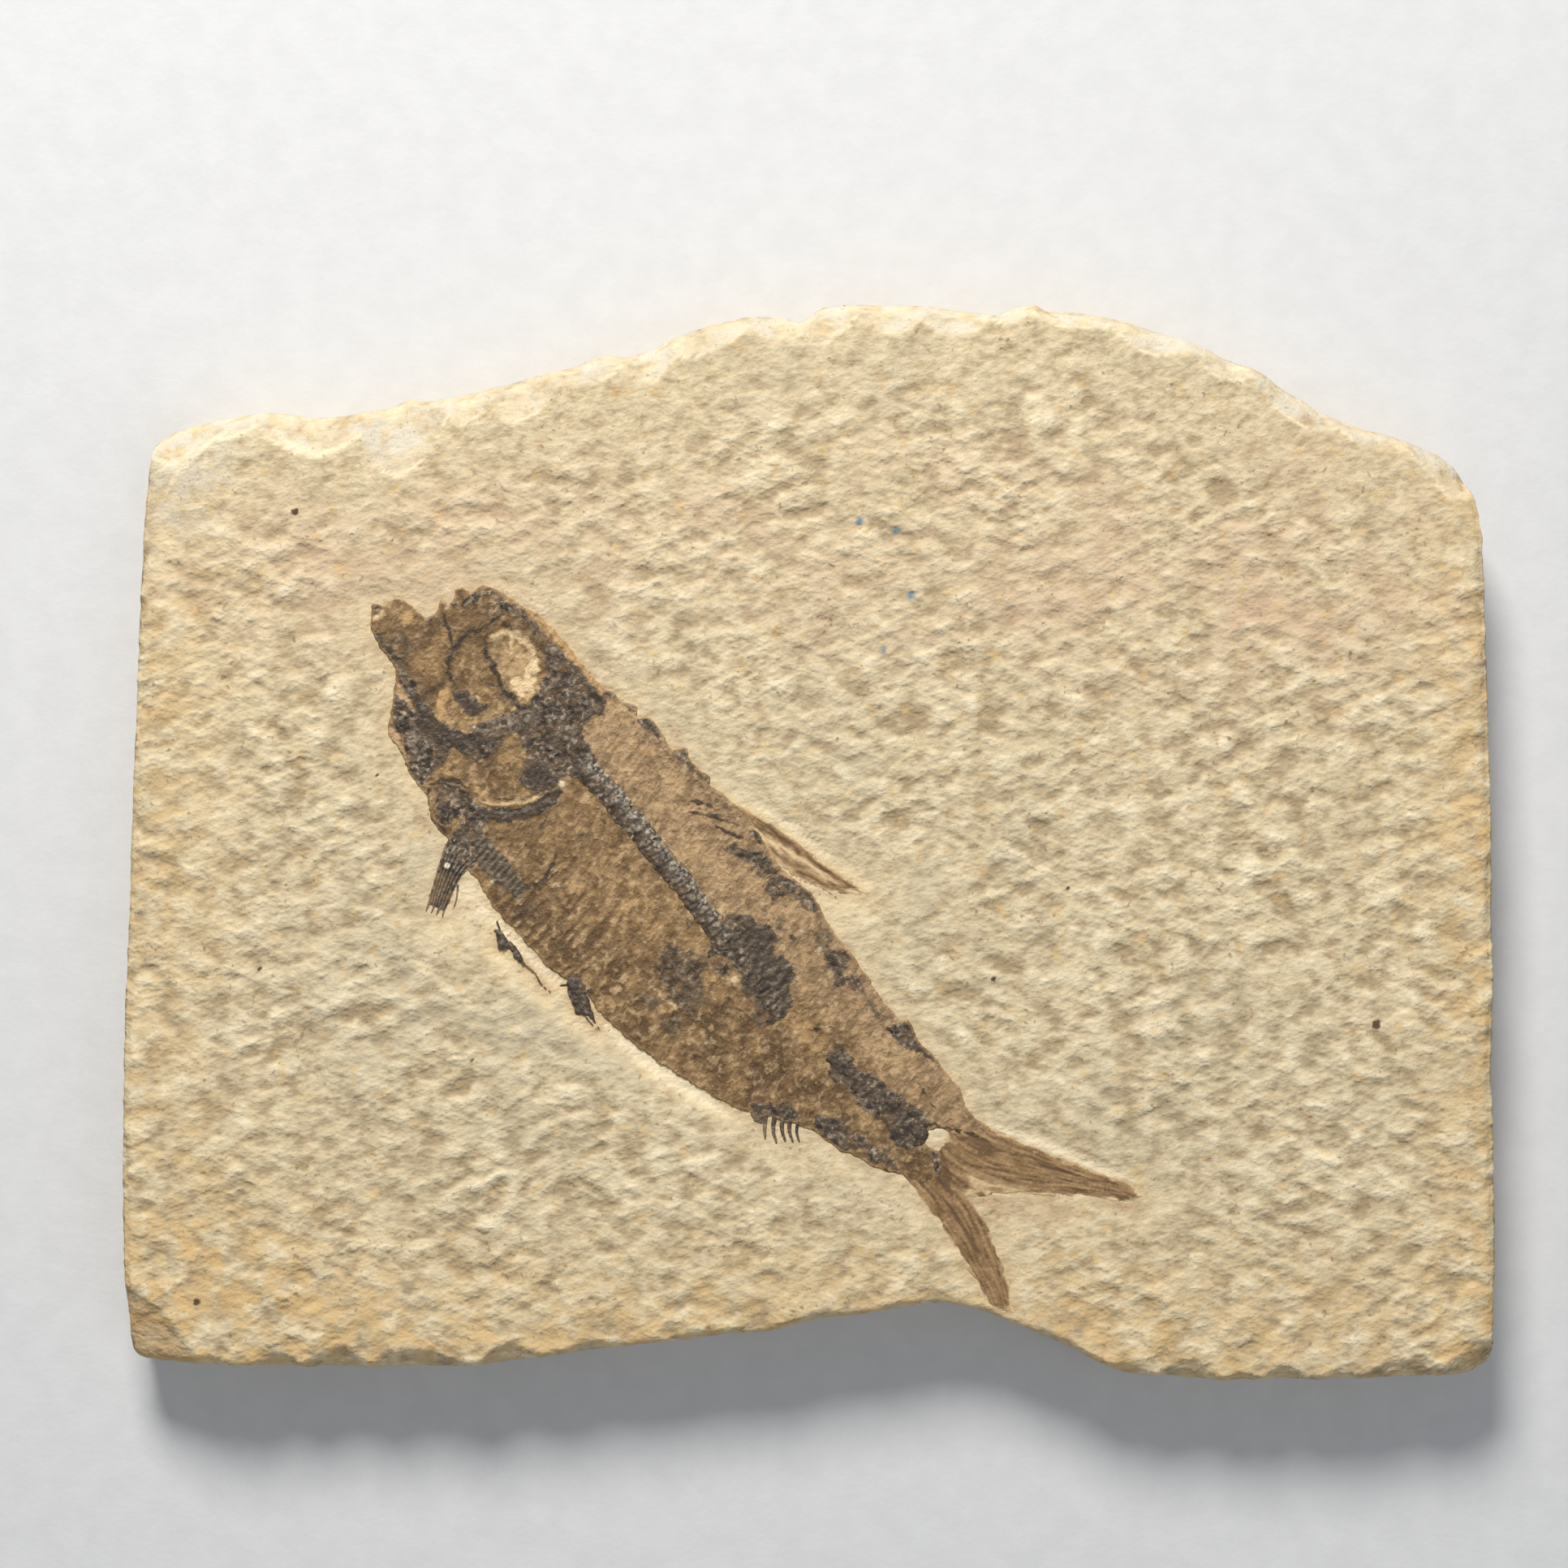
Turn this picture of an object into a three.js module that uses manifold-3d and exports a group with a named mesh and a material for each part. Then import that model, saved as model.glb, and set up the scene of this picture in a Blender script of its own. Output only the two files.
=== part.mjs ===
// Fossil fish slab: a plate of pale lake limestone with one small herring-like fish on its split face.
//
// Units are millimetres and +Z is up. The plate lies on its back, so the fish faces up. The origin is
// at the centre of the plate's footprint, on the surface that it lies on. +Y points to the arched long
// edge and +X to the end that the tail points to.
//
// The fish is a thin brown film of skin, scales and bone on the bedding plane, at the floor of a shallow
// recess that was scraped free around it. Its body, backbone, fins, tail lobes and loose belly scutes
// are separate bones and so separate solids here. In the real plate they are bonded to the stone.

import * as THREE from "three";
import { mergeVertices } from "three/addons/utils/BufferGeometryUtils.js";
import Module from "manifold-3d";

const wasm = await Module();
wasm.setup();

// The plate
const plateThickness = 9.4;
const bedHeight = 9.0; // the bedding plane that the fish lies on
const recessRamp = 0.9; // how far the recess's sloping wall runs outwards
const recessClearance = 0.5; // from the fish's outline to the foot of that wall

// The fish
const filmThickness = 0.3; // skin and scales
const finThickness = 0.25;
const spineThickness = 0.35; // how far the backbone stands up from the film
const boneGap = 0.3; // between neighbouring bones
const snout = new THREE.Vector2(-36, 22); // where the fish's own frame sits on the plate
const fishTurn = THREE.MathUtils.degToRad(-46); // the fish's head-to-tail line, from +X
const vertebraPitch = 1.25;

// The plate's widest outline, anticlockwise from the lower left corner.
const lowerEdge = [
  [-63.5, -49.3], [-61, -49.5], [-57, -49.7], [-50, -49.9], [-42, -50], [-35, -50], [-30, -49.7],
  [-26, -49.1], [-22.5, -48.6], [-19, -48.2], [-15.5, -47.7], [-12, -47.4], [-8, -46.9], [-3, -46.4],
  [0, -45.6], [3, -45.1], [5, -44.9], [9, -44.3], [12, -43.8], [14, -44], [16.5, -44.6], [19, -45.6],
  [22, -46.8], [25, -48.2], [28, -49.7], [30.7, -50.7], [33.5, -50.7], [36, -51.1], [41, -51.2],
  [47, -51.1], [54, -51], [60, -50.8], [62.5, -50.6],
];
const rightEdge = [
  [64.3, -49.9], [64.9, -48.6], [65.1, -44], [65.2, -38], [65.1, -31], [65, -26], [64.8, -22],
  [65, -16], [64.9, -8], [64.9, 0], [64.7, 7], [64.5, 14], [64.3, 20], [64.1, 26], [63.9, 29.5],
  [63.4, 32], [62.4, 34.2], [61.4, 35.8], [60, 36.9],
];
const archedEdge = [
  [58, 37.7], [55, 38.8], [52, 39.6], [49.3, 40.7], [47, 42.1], [45, 43.3], [43, 44.8], [40, 45.9],
  [37.5, 47.2], [34, 48.4], [30, 49.6], [26, 50.4], [22.8, 50.6], [21.5, 51.1], [19.5, 50.9],
  [17.8, 50.2], [15, 50.6], [12, 51], [8, 51.2], [4, 51.2], [1.4, 51], [0.2, 50.2], [-0.7, 49.5],
  [-2, 49.9], [-5, 50.1], [-9, 49.4], [-12, 48.4], [-15, 47], [-17.4, 46.2], [-18.8, 46.4],
  [-20.5, 46.1], [-23, 45.1], [-26, 44.5], [-30, 43.3], [-34, 42.4], [-36.5, 42.1], [-38, 42.3],
  [-40, 41.5], [-43, 40.9], [-45, 40.6], [-47.5, 40.6], [-50, 40.9], [-53, 40.8], [-57, 40.1],
  [-60, 39.3],
];
const leftEdge = [
  [-61.5, 38.6], [-62.3, 37.2], [-62.8, 34], [-63.2, 29], [-63.6, 21], [-63.9, 12], [-64.3, 3],
  [-64.5, -5], [-64.7, -10], [-65, -17], [-65.1, -24], [-65.2, -32], [-65.1, -40], [-64.8, -45],
  [-64.6, -48], [-64.3, -49],
];
const plateOutline = [...lowerEdge, ...rightEdge, ...archedEdge, ...leftEdge];

// The broken edge's profile: at each height, how far it stands in from the widest outline at the two
// ends, along the arched edge and along the lower edge.
const edgeProfile = [
  { z: 0, ends: 1.4, arched: 1.6, lower: 1.2 },
  { z: 0.9, ends: 0.5, arched: 0.6, lower: 0.4 },
  { z: 3, ends: 0, arched: 0, lower: 0 },
  { z: 5.6, ends: 0.25, arched: 0.8, lower: 0.1 },
  { z: 7.8, ends: 0.4, arched: 1.6, lower: 0.5 },
  { z: plateThickness, ends: 1, arched: 3.2, lower: 1.7 },
];

// A flake is missing from the lower left corner: its facet falls away from this line on the face.
const cornerChip = { at: [-61.2, -45.4], turnDeg: 139, slopeDeg: 24, size: 26 };

// The fish's outlines, in its own frame: +X runs from snout to tail and +Y to its back.
const bodyOutline = [
  [-4, -3.4], [-3.1, -4.5], [-1.8, -5.4], [0, -5.8], [1.3, -6], [2.4, -6.9], [3.9, -8.6],
  [5.3, -10.3], [7.5, -11], [10, -12], [13.3, -12.9], [15.2, -13.7], [19.4, -13.9], [21.5, -14.5],
  [24, -15], [28, -15.3], [34, -15.2], [38, -14.9], [42, -14.4], [46, -13.6], [50, -12.7],
  [53.5, -11.8], [55.2, -10.7], [57, -9.6], [59.6, -8.5], [63, -7.8], [66, -6.6], [68.2, -5.4],
  [69.6, -4.7], [69.8, -2.8], [69, -1.4], [68.8, -0.4], [69.8, 1.2], [70.2, 2.6], [70, 3.9],
  [67.5, 4.6], [63, 5.1], [60, 5.4], [57, 5.3], [52, 6.2], [48, 6.5], [45, 7.2], [41, 7], [37.5, 7.8],
  [34, 8], [30, 8.1], [27, 8.1], [24.6, 7.4], [21.8, 7.9], [19, 7.2], [17, 6.6], [11, 6.6], [5.5, 6.2],
  [2.4, 5.8], [1.7, 4.6], [0.7, 3.2], [0.9, 2.2], [0.2, 1.2], [0.4, -0.6], [-1.8, -1], [-2.9, -1.7],
];
const dorsalFinOutline = [
  [33, 7.6], [39, 7], [41.5, 8.9], [44.5, 9.5], [46.5, 9.9], [48.4, 11], [48.1, 11.4], [46, 10.6],
  [43, 10.2], [38.5, 9.5], [35, 8.7],
];
const pectoralFinOutline = [
  [16.6, -13.2], [20.4, -13.2], [20.2, -16], [21.1, -17.7], [21.5, -19.1], [19.7, -18.9],
  [18.4, -16.9], [17.4, -15],
];
const analFinOutline = [
  [54.9, -10.2], [56, -8.8], [59.8, -7.9], [60.6, -9.9], [59.9, -11], [58.7, -11.8], [56.3, -11.4],
];
const upperLobeOutline = [
  [69, 0], [71.5, 0.4], [74, 0.6], [76.5, 2.4], [80, 4.3], [83, 6.4], [86, 8], [88, 8.8], [87.8, 9.9],
  [84, 9], [81, 7.7], [78, 6.4], [75, 5], [72.5, 4.3], [69, 4],
];
const lowerLobeOutline = [
  [69, -4.9], [73, -4.8], [76, -4.7], [79, -5.1], [82, -6], [84, -6.8], [85.2, -7.4], [85.7, -6.4],
  [83, -4.7], [81, -3.6], [79, -3], [76, -2.6], [73, -1.9], [71.2, -1.2], [69, -1.2],
];
const frontScuteOutline = [
  [25.9, -16.5], [27.4, -17.4], [29.6, -17], [31.4, -17], [31.2, -16.4], [28.6, -16.3], [26.6, -16],
];
const rearScuteOutline = [
  [34, -14.4], [35, -16], [36.4, -16.4], [37.6, -16.3], [39.4, -16], [38, -15], [36, -14.4],
];

// The backbone's two bare stretches, as centre lines from head to tail with half-widths at each end.
const frontSpine = {
  line: [[20.9, 0.4], [26, 0.15], [31, -0.3], [36, -0.8], [41, -1.4], [46, -1.8], [50.6, -2.6]],
  halfWidths: [1, 0.85],
};
const rearSpine = {
  line: [[56.8, -2], [60, -2], [64, -1.6], [68.2, -1.2]],
  halfWidths: [0.9, 1.3],
};

const limestone = new THREE.MeshStandardMaterial({ color: 0xd9c69c, roughness: 0.95, metalness: 0 });
const scaleFilm = new THREE.MeshStandardMaterial({ color: 0x80603a, roughness: 0.6, metalness: 0 });
const darkBone = new THREE.MeshStandardMaterial({ color: 0x4c4541, roughness: 0.55, metalness: 0 });
const finRay = new THREE.MeshStandardMaterial({ color: 0x7d6342, roughness: 0.65, metalness: 0 });

// A three.js geometry as a manifold-3d solid, and back.
function solidOf(geometry) {
  const bare = geometry.index ? geometry.toNonIndexed() : geometry.clone();
  bare.deleteAttribute("normal");
  bare.deleteAttribute("uv");
  const merged = mergeVertices(bare, 1e-4);
  return new wasm.Manifold(
    new wasm.Mesh({
      numProp: 3,
      vertProperties: merged.attributes.position.array,
      triVerts: new Uint32Array(merged.index.array),
    }),
  );
}

function geometryOf(solid) {
  const mesh = solid.getMesh();
  const geometry = new THREE.BufferGeometry();
  geometry.setAttribute("position", new THREE.BufferAttribute(mesh.vertProperties, 3));
  geometry.setIndex(new THREE.BufferAttribute(mesh.triVerts, 1));
  geometry.computeVertexNormals();
  return geometry;
}

function largestPiece(solid) {
  return solid.decompose().reduce((best, piece) => (piece.volume() > best.volume() ? piece : best));
}

function shapeOf(points) {
  return new THREE.Shape(points.map(([x, y]) => new THREE.Vector2(x, y)));
}

// A flat plate of the outline, from z = bottom up, grown or shrunk sideways by offset.
function plateOf(points, bottom, thickness, offset = 0) {
  const geometry = new THREE.ExtrudeGeometry(shapeOf(points), {
    depth: thickness,
    bevelEnabled: offset !== 0,
    bevelThickness: 0,
    bevelSize: 0,
    bevelOffset: offset,
    bevelSegments: 1,
  });
  return geometry.translate(0, 0, bottom);
}

// What the recess takes away over one outline: straight down to the bed, with a wall that leans out.
function recessCutter(points) {
  const rampHeight = plateThickness - bedHeight;
  const geometry = new THREE.ExtrudeGeometry(shapeOf(points), {
    depth: 1,
    bevelThickness: rampHeight,
    bevelSize: recessRamp,
    bevelOffset: recessClearance,
    bevelSegments: 1,
  });
  return solidOf(geometry.translate(0, 0, plateThickness));
}

// The plate's side wall and its two faces, lofted through the edge profile.
function loftedPlate() {
  const halfWidth = Math.max(...plateOutline.map(([x]) => x));
  const halfDepth = Math.max(...plateOutline.map(([, y]) => y));
  const count = plateOutline.length;
  const positions = [];
  for (const ring of edgeProfile) {
    for (const [x, y] of plateOutline) {
      const inset = y > 0 ? ring.arched : ring.lower;
      positions.push(x * (1 - ring.ends / halfWidth), y * (1 - inset / halfDepth), ring.z);
    }
  }
  const faces = [];
  for (let ring = 0; ring + 1 < edgeProfile.length; ring++) {
    for (let i = 0; i < count; i++) {
      const a = ring * count + i;
      const b = ring * count + ((i + 1) % count);
      faces.push(a, b, b + count, a, b + count, a + count);
    }
  }
  const cap = THREE.ShapeUtils.triangulateShape(
    plateOutline.map(([x, y]) => new THREE.Vector2(x, y)),
    [],
  );
  const top = (edgeProfile.length - 1) * count;
  for (const [a, b, c] of cap) {
    faces.push(c, b, a);
    faces.push(top + a, top + b, top + c);
  }
  const geometry = new THREE.BufferGeometry();
  geometry.setAttribute("position", new THREE.Float32BufferAttribute(positions, 3));
  geometry.setIndex(faces);
  return geometry;
}

// A block whose underside is the chip's sloping facet.
function chipCutter() {
  const { at, turnDeg, slopeDeg, size } = cornerChip;
  const block = new THREE.BoxGeometry(size, size, size);
  block.translate(0, size / 2, size / 2);
  block.rotateX(THREE.MathUtils.degToRad(-slopeDeg));
  block.rotateZ(THREE.MathUtils.degToRad(turnDeg));
  block.translate(at[0], at[1], plateThickness);
  return solidOf(block);
}

// The outline of a row of vertebrae: each one bulges a little beyond the joints between them.
function spineOutline({ line, halfWidths }) {
  const curve = new THREE.SplineCurve(line.map(([x, y]) => new THREE.Vector2(x, y)));
  const length = curve.getLength();
  const steps = Math.round((length / vertebraPitch) * 4);
  const sides = [[], []];
  for (let i = 0; i <= steps; i++) {
    const along = i / steps;
    const centre = curve.getPointAt(along);
    const tangent = curve.getTangentAt(along);
    const bulge = 1 + 0.12 * Math.cos((2 * Math.PI * along * length) / vertebraPitch);
    const half = THREE.MathUtils.lerp(halfWidths[0], halfWidths[1], along) * bulge;
    sides[0].push([centre.x + tangent.y * half, centre.y - tangent.x * half]);
    sides[1].unshift([centre.x - tangent.y * half, centre.y + tangent.x * half]);
  }
  return [...sides[0], ...sides[1]];
}

const fishOutlines = [
  bodyOutline, dorsalFinOutline, pectoralFinOutline, analFinOutline, upperLobeOutline,
  lowerLobeOutline, frontScuteOutline, rearScuteOutline,
];

function stoneSlab() {
  const toPlate = new THREE.Matrix4()
    .makeTranslation(snout.x, snout.y, 0)
    .multiply(new THREE.Matrix4().makeRotationZ(fishTurn));
  let stone = solidOf(loftedPlate()).subtract(chipCutter());
  for (const outline of fishOutlines) {
    stone = stone.subtract(recessCutter(outline).transform([...toPlate.elements]));
  }
  const mesh = new THREE.Mesh(geometryOf(largestPiece(stone)), limestone);
  mesh.name = "stone_slab";
  return mesh;
}

// A fin or scute, cut back where it would run into the body.
function outlyingBone(name, points, material) {
  const body = solidOf(plateOf(bodyOutline, bedHeight - 1, 3, boneGap));
  const bone = solidOf(plateOf(points, bedHeight, finThickness)).subtract(body);
  const mesh = new THREE.Mesh(geometryOf(largestPiece(bone)), material);
  mesh.name = name;
  return mesh;
}

function fossilFish() {
  const fish = new THREE.Group();
  fish.position.set(snout.x, snout.y, 0);
  fish.rotation.z = fishTurn;

  const body = new THREE.Mesh(plateOf(bodyOutline, bedHeight, filmThickness), scaleFilm);
  body.name = "fish_body";
  fish.add(body);

  const spines = { backbone_front: frontSpine, backbone_rear: rearSpine };
  for (const [name, spine] of Object.entries(spines)) {
    const film = bedHeight + filmThickness;
    const bones = new THREE.Mesh(plateOf(spineOutline(spine), film, spineThickness), darkBone);
    bones.name = name;
    fish.add(bones);
  }

  fish.add(outlyingBone("dorsal_fin", dorsalFinOutline, finRay));
  fish.add(outlyingBone("pectoral_fin", pectoralFinOutline, darkBone));
  fish.add(outlyingBone("anal_fin", analFinOutline, darkBone));
  fish.add(outlyingBone("tail_upper_lobe", upperLobeOutline, finRay));
  fish.add(outlyingBone("tail_lower_lobe", lowerLobeOutline, finRay));
  fish.add(outlyingBone("belly_scute_front", frontScuteOutline, darkBone));
  fish.add(outlyingBone("belly_scute_rear", rearScuteOutline, darkBone));
  return fish;
}

const fossilSlab = new THREE.Group();
fossilSlab.add(stoneSlab(), fossilFish());

export default fossilSlab;
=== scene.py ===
import math

import bpy
import numpy as np
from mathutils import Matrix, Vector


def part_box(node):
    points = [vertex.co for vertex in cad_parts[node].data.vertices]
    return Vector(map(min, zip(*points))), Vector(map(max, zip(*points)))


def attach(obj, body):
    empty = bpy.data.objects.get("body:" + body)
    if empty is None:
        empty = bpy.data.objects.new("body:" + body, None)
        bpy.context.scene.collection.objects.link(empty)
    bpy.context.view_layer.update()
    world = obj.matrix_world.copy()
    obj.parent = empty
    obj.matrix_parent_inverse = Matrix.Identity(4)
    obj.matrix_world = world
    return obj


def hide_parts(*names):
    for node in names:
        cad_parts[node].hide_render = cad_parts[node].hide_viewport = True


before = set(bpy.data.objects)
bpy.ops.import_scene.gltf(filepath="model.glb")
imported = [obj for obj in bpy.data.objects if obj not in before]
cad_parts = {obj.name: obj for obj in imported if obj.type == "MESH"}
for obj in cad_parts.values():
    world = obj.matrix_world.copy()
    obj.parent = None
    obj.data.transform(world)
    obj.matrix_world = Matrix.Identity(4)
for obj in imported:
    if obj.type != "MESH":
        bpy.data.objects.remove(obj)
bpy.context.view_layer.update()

mm = 0.001  # shapes are worked out in millimetres and written to the meshes in metres
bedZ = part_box("fish_body")[0].z / mm  # the bedding plane that the fish lies on
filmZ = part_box("fish_body")[1].z / mm  # the highest that the film of skin and scales may reach
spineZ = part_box("backbone_front")[1].z / mm
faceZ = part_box("stone_slab")[1].z / mm

# the fish has its own axes on the slab: x from snout to tail, y to its back
fishPlace = {"snout": (-36.0, 22.0), "turn": math.radians(-46)}

# numbers, curves and outlines; in every call of lumps the number after the size is the seed

noiseTables = {}


def softNoise(x, y, seed):
    # lumps about one unit across, from -1 to 1
    if seed not in noiseTables:
        draw = np.random.default_rng(seed)
        order = draw.permutation(256)
        angle = draw.uniform(0, 2 * math.pi, 256)
        noiseTables[seed] = (np.concatenate([order, order]), np.cos(angle), np.sin(angle))
    order, gradientX, gradientY = noiseTables[seed]
    cellX, cellY = np.floor(x).astype(int), np.floor(y).astype(int)
    inX, inY = x - cellX, y - cellY
    blendX = inX ** 3 * (inX * (inX * 6 - 15) + 10)
    blendY = inY ** 3 * (inY * (inY * 6 - 15) + 10)

    def corner(dx, dy):
        pick = order[order[(cellX + dx) & 255] + ((cellY + dy) & 255)]
        return gradientX[pick] * (inX - dx) + gradientY[pick] * (inY - dy)

    low = corner(0, 0) * (1 - blendX) + corner(1, 0) * blendX
    high = corner(0, 1) * (1 - blendX) + corner(1, 1) * blendX
    return 1.5 * (low * (1 - blendY) + high * blendY)


def lumps(x, y, size, seed, octaves=1, stretch=1.0, turn=0.0):
    # size is a lump's width in mm; it is stretch times longer in the direction turn, in degrees
    c, s = math.cos(math.radians(turn)), math.sin(math.radians(turn))
    along, across = (x * c + y * s) / (size * stretch), (y * c - x * s) / size
    total, gain = 0, 1.0
    for octave in range(octaves):
        total = total + gain * softNoise(along * 2 ** octave, across * 2 ** octave, seed + octave)
        gain *= 0.5
    return total


def ramp(value, low, high):
    # 0 at low to 1 at high, with soft ends; it falls where high is below low
    t = np.clip((value - low) / (high - low), 0, 1)
    return t * t * (3 - 2 * t)


def blob(x, y, centre, radii):
    return np.exp(-((x - centre[0]) / radii[0]) ** 2 - ((y - centre[1]) / radii[1]) ** 2)


def waves(value, low, high):
    # stripes one unit apart, 0 to 1
    return ramp(np.cos(2 * math.pi * value), low, high)


def smoothLine(points, closed=False, steps=4):
    # a smooth line through all the points
    pts = np.asarray(points, float)
    if closed:
        pts = np.vstack([pts[-1:], pts, pts[:2]])
    else:
        pts = np.vstack([2 * pts[0] - pts[1], pts, 2 * pts[-1] - pts[-2]])
    t = np.linspace(0, 1, steps, endpoint=False)[:, None]
    out = []
    for a, b, c, d in zip(pts[:-3], pts[1:-2], pts[2:-1], pts[3:]):
        out.append(0.5 * (2 * b + (c - a) * t + (2 * a - 5 * b + 4 * c - d) * t ** 2
                          + (3 * b - a - 3 * c + d) * t ** 3))
    line = np.vstack(out)
    return line if closed else np.vstack([line, pts[-2:-1]])


def evenly(line, shares):
    # points at these shares of a line's length
    lengths = np.concatenate([[0], np.cumsum(np.hypot(*np.diff(line, axis=0).T))])
    at = np.asarray(shares) * lengths[-1]
    return np.stack([np.interp(at, lengths, line[:, 0]), np.interp(at, lengths, line[:, 1])], -1)


def lineDistance(x, y, line):
    # distance to a line, and how far along it, from 0 to 1, its nearest point is
    line = np.asarray(line, float)
    lengths = np.hypot(*np.diff(line, axis=0).T)
    best, along, begun = np.full(x.shape, 1e9), np.zeros(x.shape), 0.0
    for (ax, ay), (bx, by), length in zip(line[:-1], line[1:], lengths):
        t = np.clip(((x - ax) * (bx - ax) + (y - ay) * (by - ay)) / max(length ** 2, 1e-9), 0, 1)
        away = np.hypot(x - ax - t * (bx - ax), y - ay - t * (by - ay))
        nearer = away < best
        best = np.where(nearer, away, best)
        along = np.where(nearer, (begun + t * length) / lengths.sum(), along)
        begun += length
    return best, along


def outlineDistance(x, y, outline):
    # distance to a closed outline, below zero inside it
    outline = np.asarray(outline, float)
    around = np.vstack([outline, outline[:1]])
    inside = np.zeros(x.shape, bool)
    for (ax, ay), (bx, by) in zip(around[:-1], around[1:]):
        if ay != by:
            inside ^= ((ay > y) != (by > y)) & (x < (bx - ax) * (y - ay) / (by - ay) + ax)
    away = lineDistance(x, y, around)[0]
    return np.where(inside, -away, away)


def nearBox(x, y, points, margin):
    points = np.asarray(points, float)
    low, high = points.min(0) - margin, points.max(0) + margin
    return (x > low[0]) & (x < high[0]) & (y > low[1]) & (y < high[1])


def patchMask(x, y, outline, soft=0.18):
    # 1 inside an outline and 0 outside
    mask = np.zeros(x.shape)
    near = nearBox(x, y, outline, 2 * soft)
    mask[near] = ramp(-outlineDistance(x[near], y[near], outline), -soft, soft)
    return mask


def strokeMask(x, y, line, width, soft=0.1):
    # a brush stroke along a line, thin at its ends
    mask = np.zeros(x.shape)
    near = nearBox(x, y, line, width + soft)
    away, along = lineDistance(x[near], y[near], smoothLine(line))
    half = width / 2 * np.sqrt(np.clip(4 * along * (1 - along), 0.04, 1))
    mask[near] = ramp(half - away, -soft, soft)
    return mask


def anyOf(*masks):
    # masks laid over each other
    left = 1.0
    for mask in masks:
        left = left * (1 - np.clip(mask, 0, 1))
    return 1 - left


def strokes(x, y, drawn, soft=0.1, spread=1.0):
    # all of a list's strokes, each with its points, width and strength
    return anyOf(*[strength * strokeMask(x, y, line, spread * width, soft)
                   for line, width, strength in drawn])


def patches(x, y, drawn, soft):
    # all of a list's patches, each with its strength and outline
    return anyOf(*[strength * patchMask(x, y, outline, soft) for strength, outline in drawn])


def toSlab(x, y):
    c, s = math.cos(fishPlace["turn"]), math.sin(fishPlace["turn"])
    return fishPlace["snout"][0] + x * c - y * s, fishPlace["snout"][1] + x * s + y * c


def toFish(x, y):
    c, s = math.cos(fishPlace["turn"]), math.sin(fishPlace["turn"])
    x, y = x - fishPlace["snout"][0], y - fishPlace["snout"][1]
    return x * c + y * s, y * c - x * s


# meshes: verts are in mm, masks are one number a vertex, and uvs are one pair a face corner

def newPiece(name, verts, faces, masks, uvs, material, slotName, *nodes):
    mesh = bpy.data.meshes.new(name)
    mesh.from_pydata((verts * mm).tolist(), [], faces)
    mesh.polygons.foreach_set("use_smooth", np.ones(len(faces), bool))
    for key, values in masks.items():
        mesh.attributes.new(key, "FLOAT", "POINT").data.foreach_set("value", values.astype(np.float32))
    mesh.uv_layers.new(name="OFBake").data.foreach_set("uv", uvs.astype(np.float32).ravel())
    mesh.materials.append(material)
    mesh.update()
    piece = bpy.data.objects.new(name, mesh)
    bpy.context.scene.collection.objects.link(piece)
    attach(piece, "root")
    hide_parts(*nodes)
    print(f"{name}: {len(verts)} vertices, {len(faces)} faces")
    return piece


def gridFaces(index):
    return np.stack([index[:-1, :-1], index[:-1, 1:], index[1:, 1:], index[1:, :-1]], -1)


def gridRing(index):
    # round a grid's edge, anticlockwise
    return np.concatenate([index[0, :-1], index[:-1, -1], index[-1, :0:-1], index[:0:-1, 0]])


def stripUvs(count, place, size, columns=400):
    # small squares in rows, one for each side face
    column, row = np.arange(count) % columns, np.arange(count) // columns
    rows = max(1, -(-count // columns))
    u = place[0] + size[0] * (column[:, None] + np.array([0.95, 0.05, 0.05, 0.95])) / columns
    v = place[1] + size[1] * (row[:, None] + np.array([0.95, 0.95, 0.05, 0.05])) / rows
    return np.stack([u, v], -1)


def trimmedGrid(piece, edge):
    # a fine grid cut to where edge() is below zero: its points, faces and rim
    low, high, step = piece["low"], piece["high"], piece["step"]
    gridX, gridY = np.meshgrid(np.arange(low[0], high[0], step), np.arange(low[1], high[1], step))
    away = edge(gridX, gridY)
    kept = (away[:-1, :-1] + away[1:, :-1] + away[:-1, 1:] + away[1:, 1:]) < 0
    for flip in (False, True):  # no two cells meet at a corner only
        k = kept[:, ::-1] if flip else kept
        k[:-1, 1:] |= k[:-1, :-1] & k[1:, 1:] & ~k[:-1, 1:] & ~k[1:, :-1]
    index = np.arange(gridX.size).reshape(gridX.shape)
    used, quads = np.unique(gridFaces(index)[kept], return_inverse=True)
    quads = quads.reshape(-1, 4)
    sides = np.concatenate([quads[:, [0, 1]], quads[:, [1, 2]], quads[:, [2, 3]], quads[:, [3, 0]]])
    keys = np.sort(sides, 1) @ np.array([len(used), 1])
    _, first, counts = np.unique(keys, return_index=True, return_counts=True)
    rim = sides[first[counts == 1]]
    x, y = gridX.ravel()[used], gridY.ravel()[used]
    onRim = np.unique(rim)
    for _ in range(3):  # the rim is pulled onto the outline
        rx, ry, tiny = x[onRim], y[onRim], step * 0.2
        here = edge(rx, ry)
        slopeX = (edge(rx + tiny, ry) - here) / tiny
        slopeY = (edge(rx, ry + tiny) - here) / tiny
        pull = np.clip(here / np.maximum(slopeX ** 2 + slopeY ** 2, 0.3), -0.35 * step, 0.35 * step)
        x[onRim] -= pull * slopeX
        y[onRim] -= pull * slopeY
    return x, y, quads, rim


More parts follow.
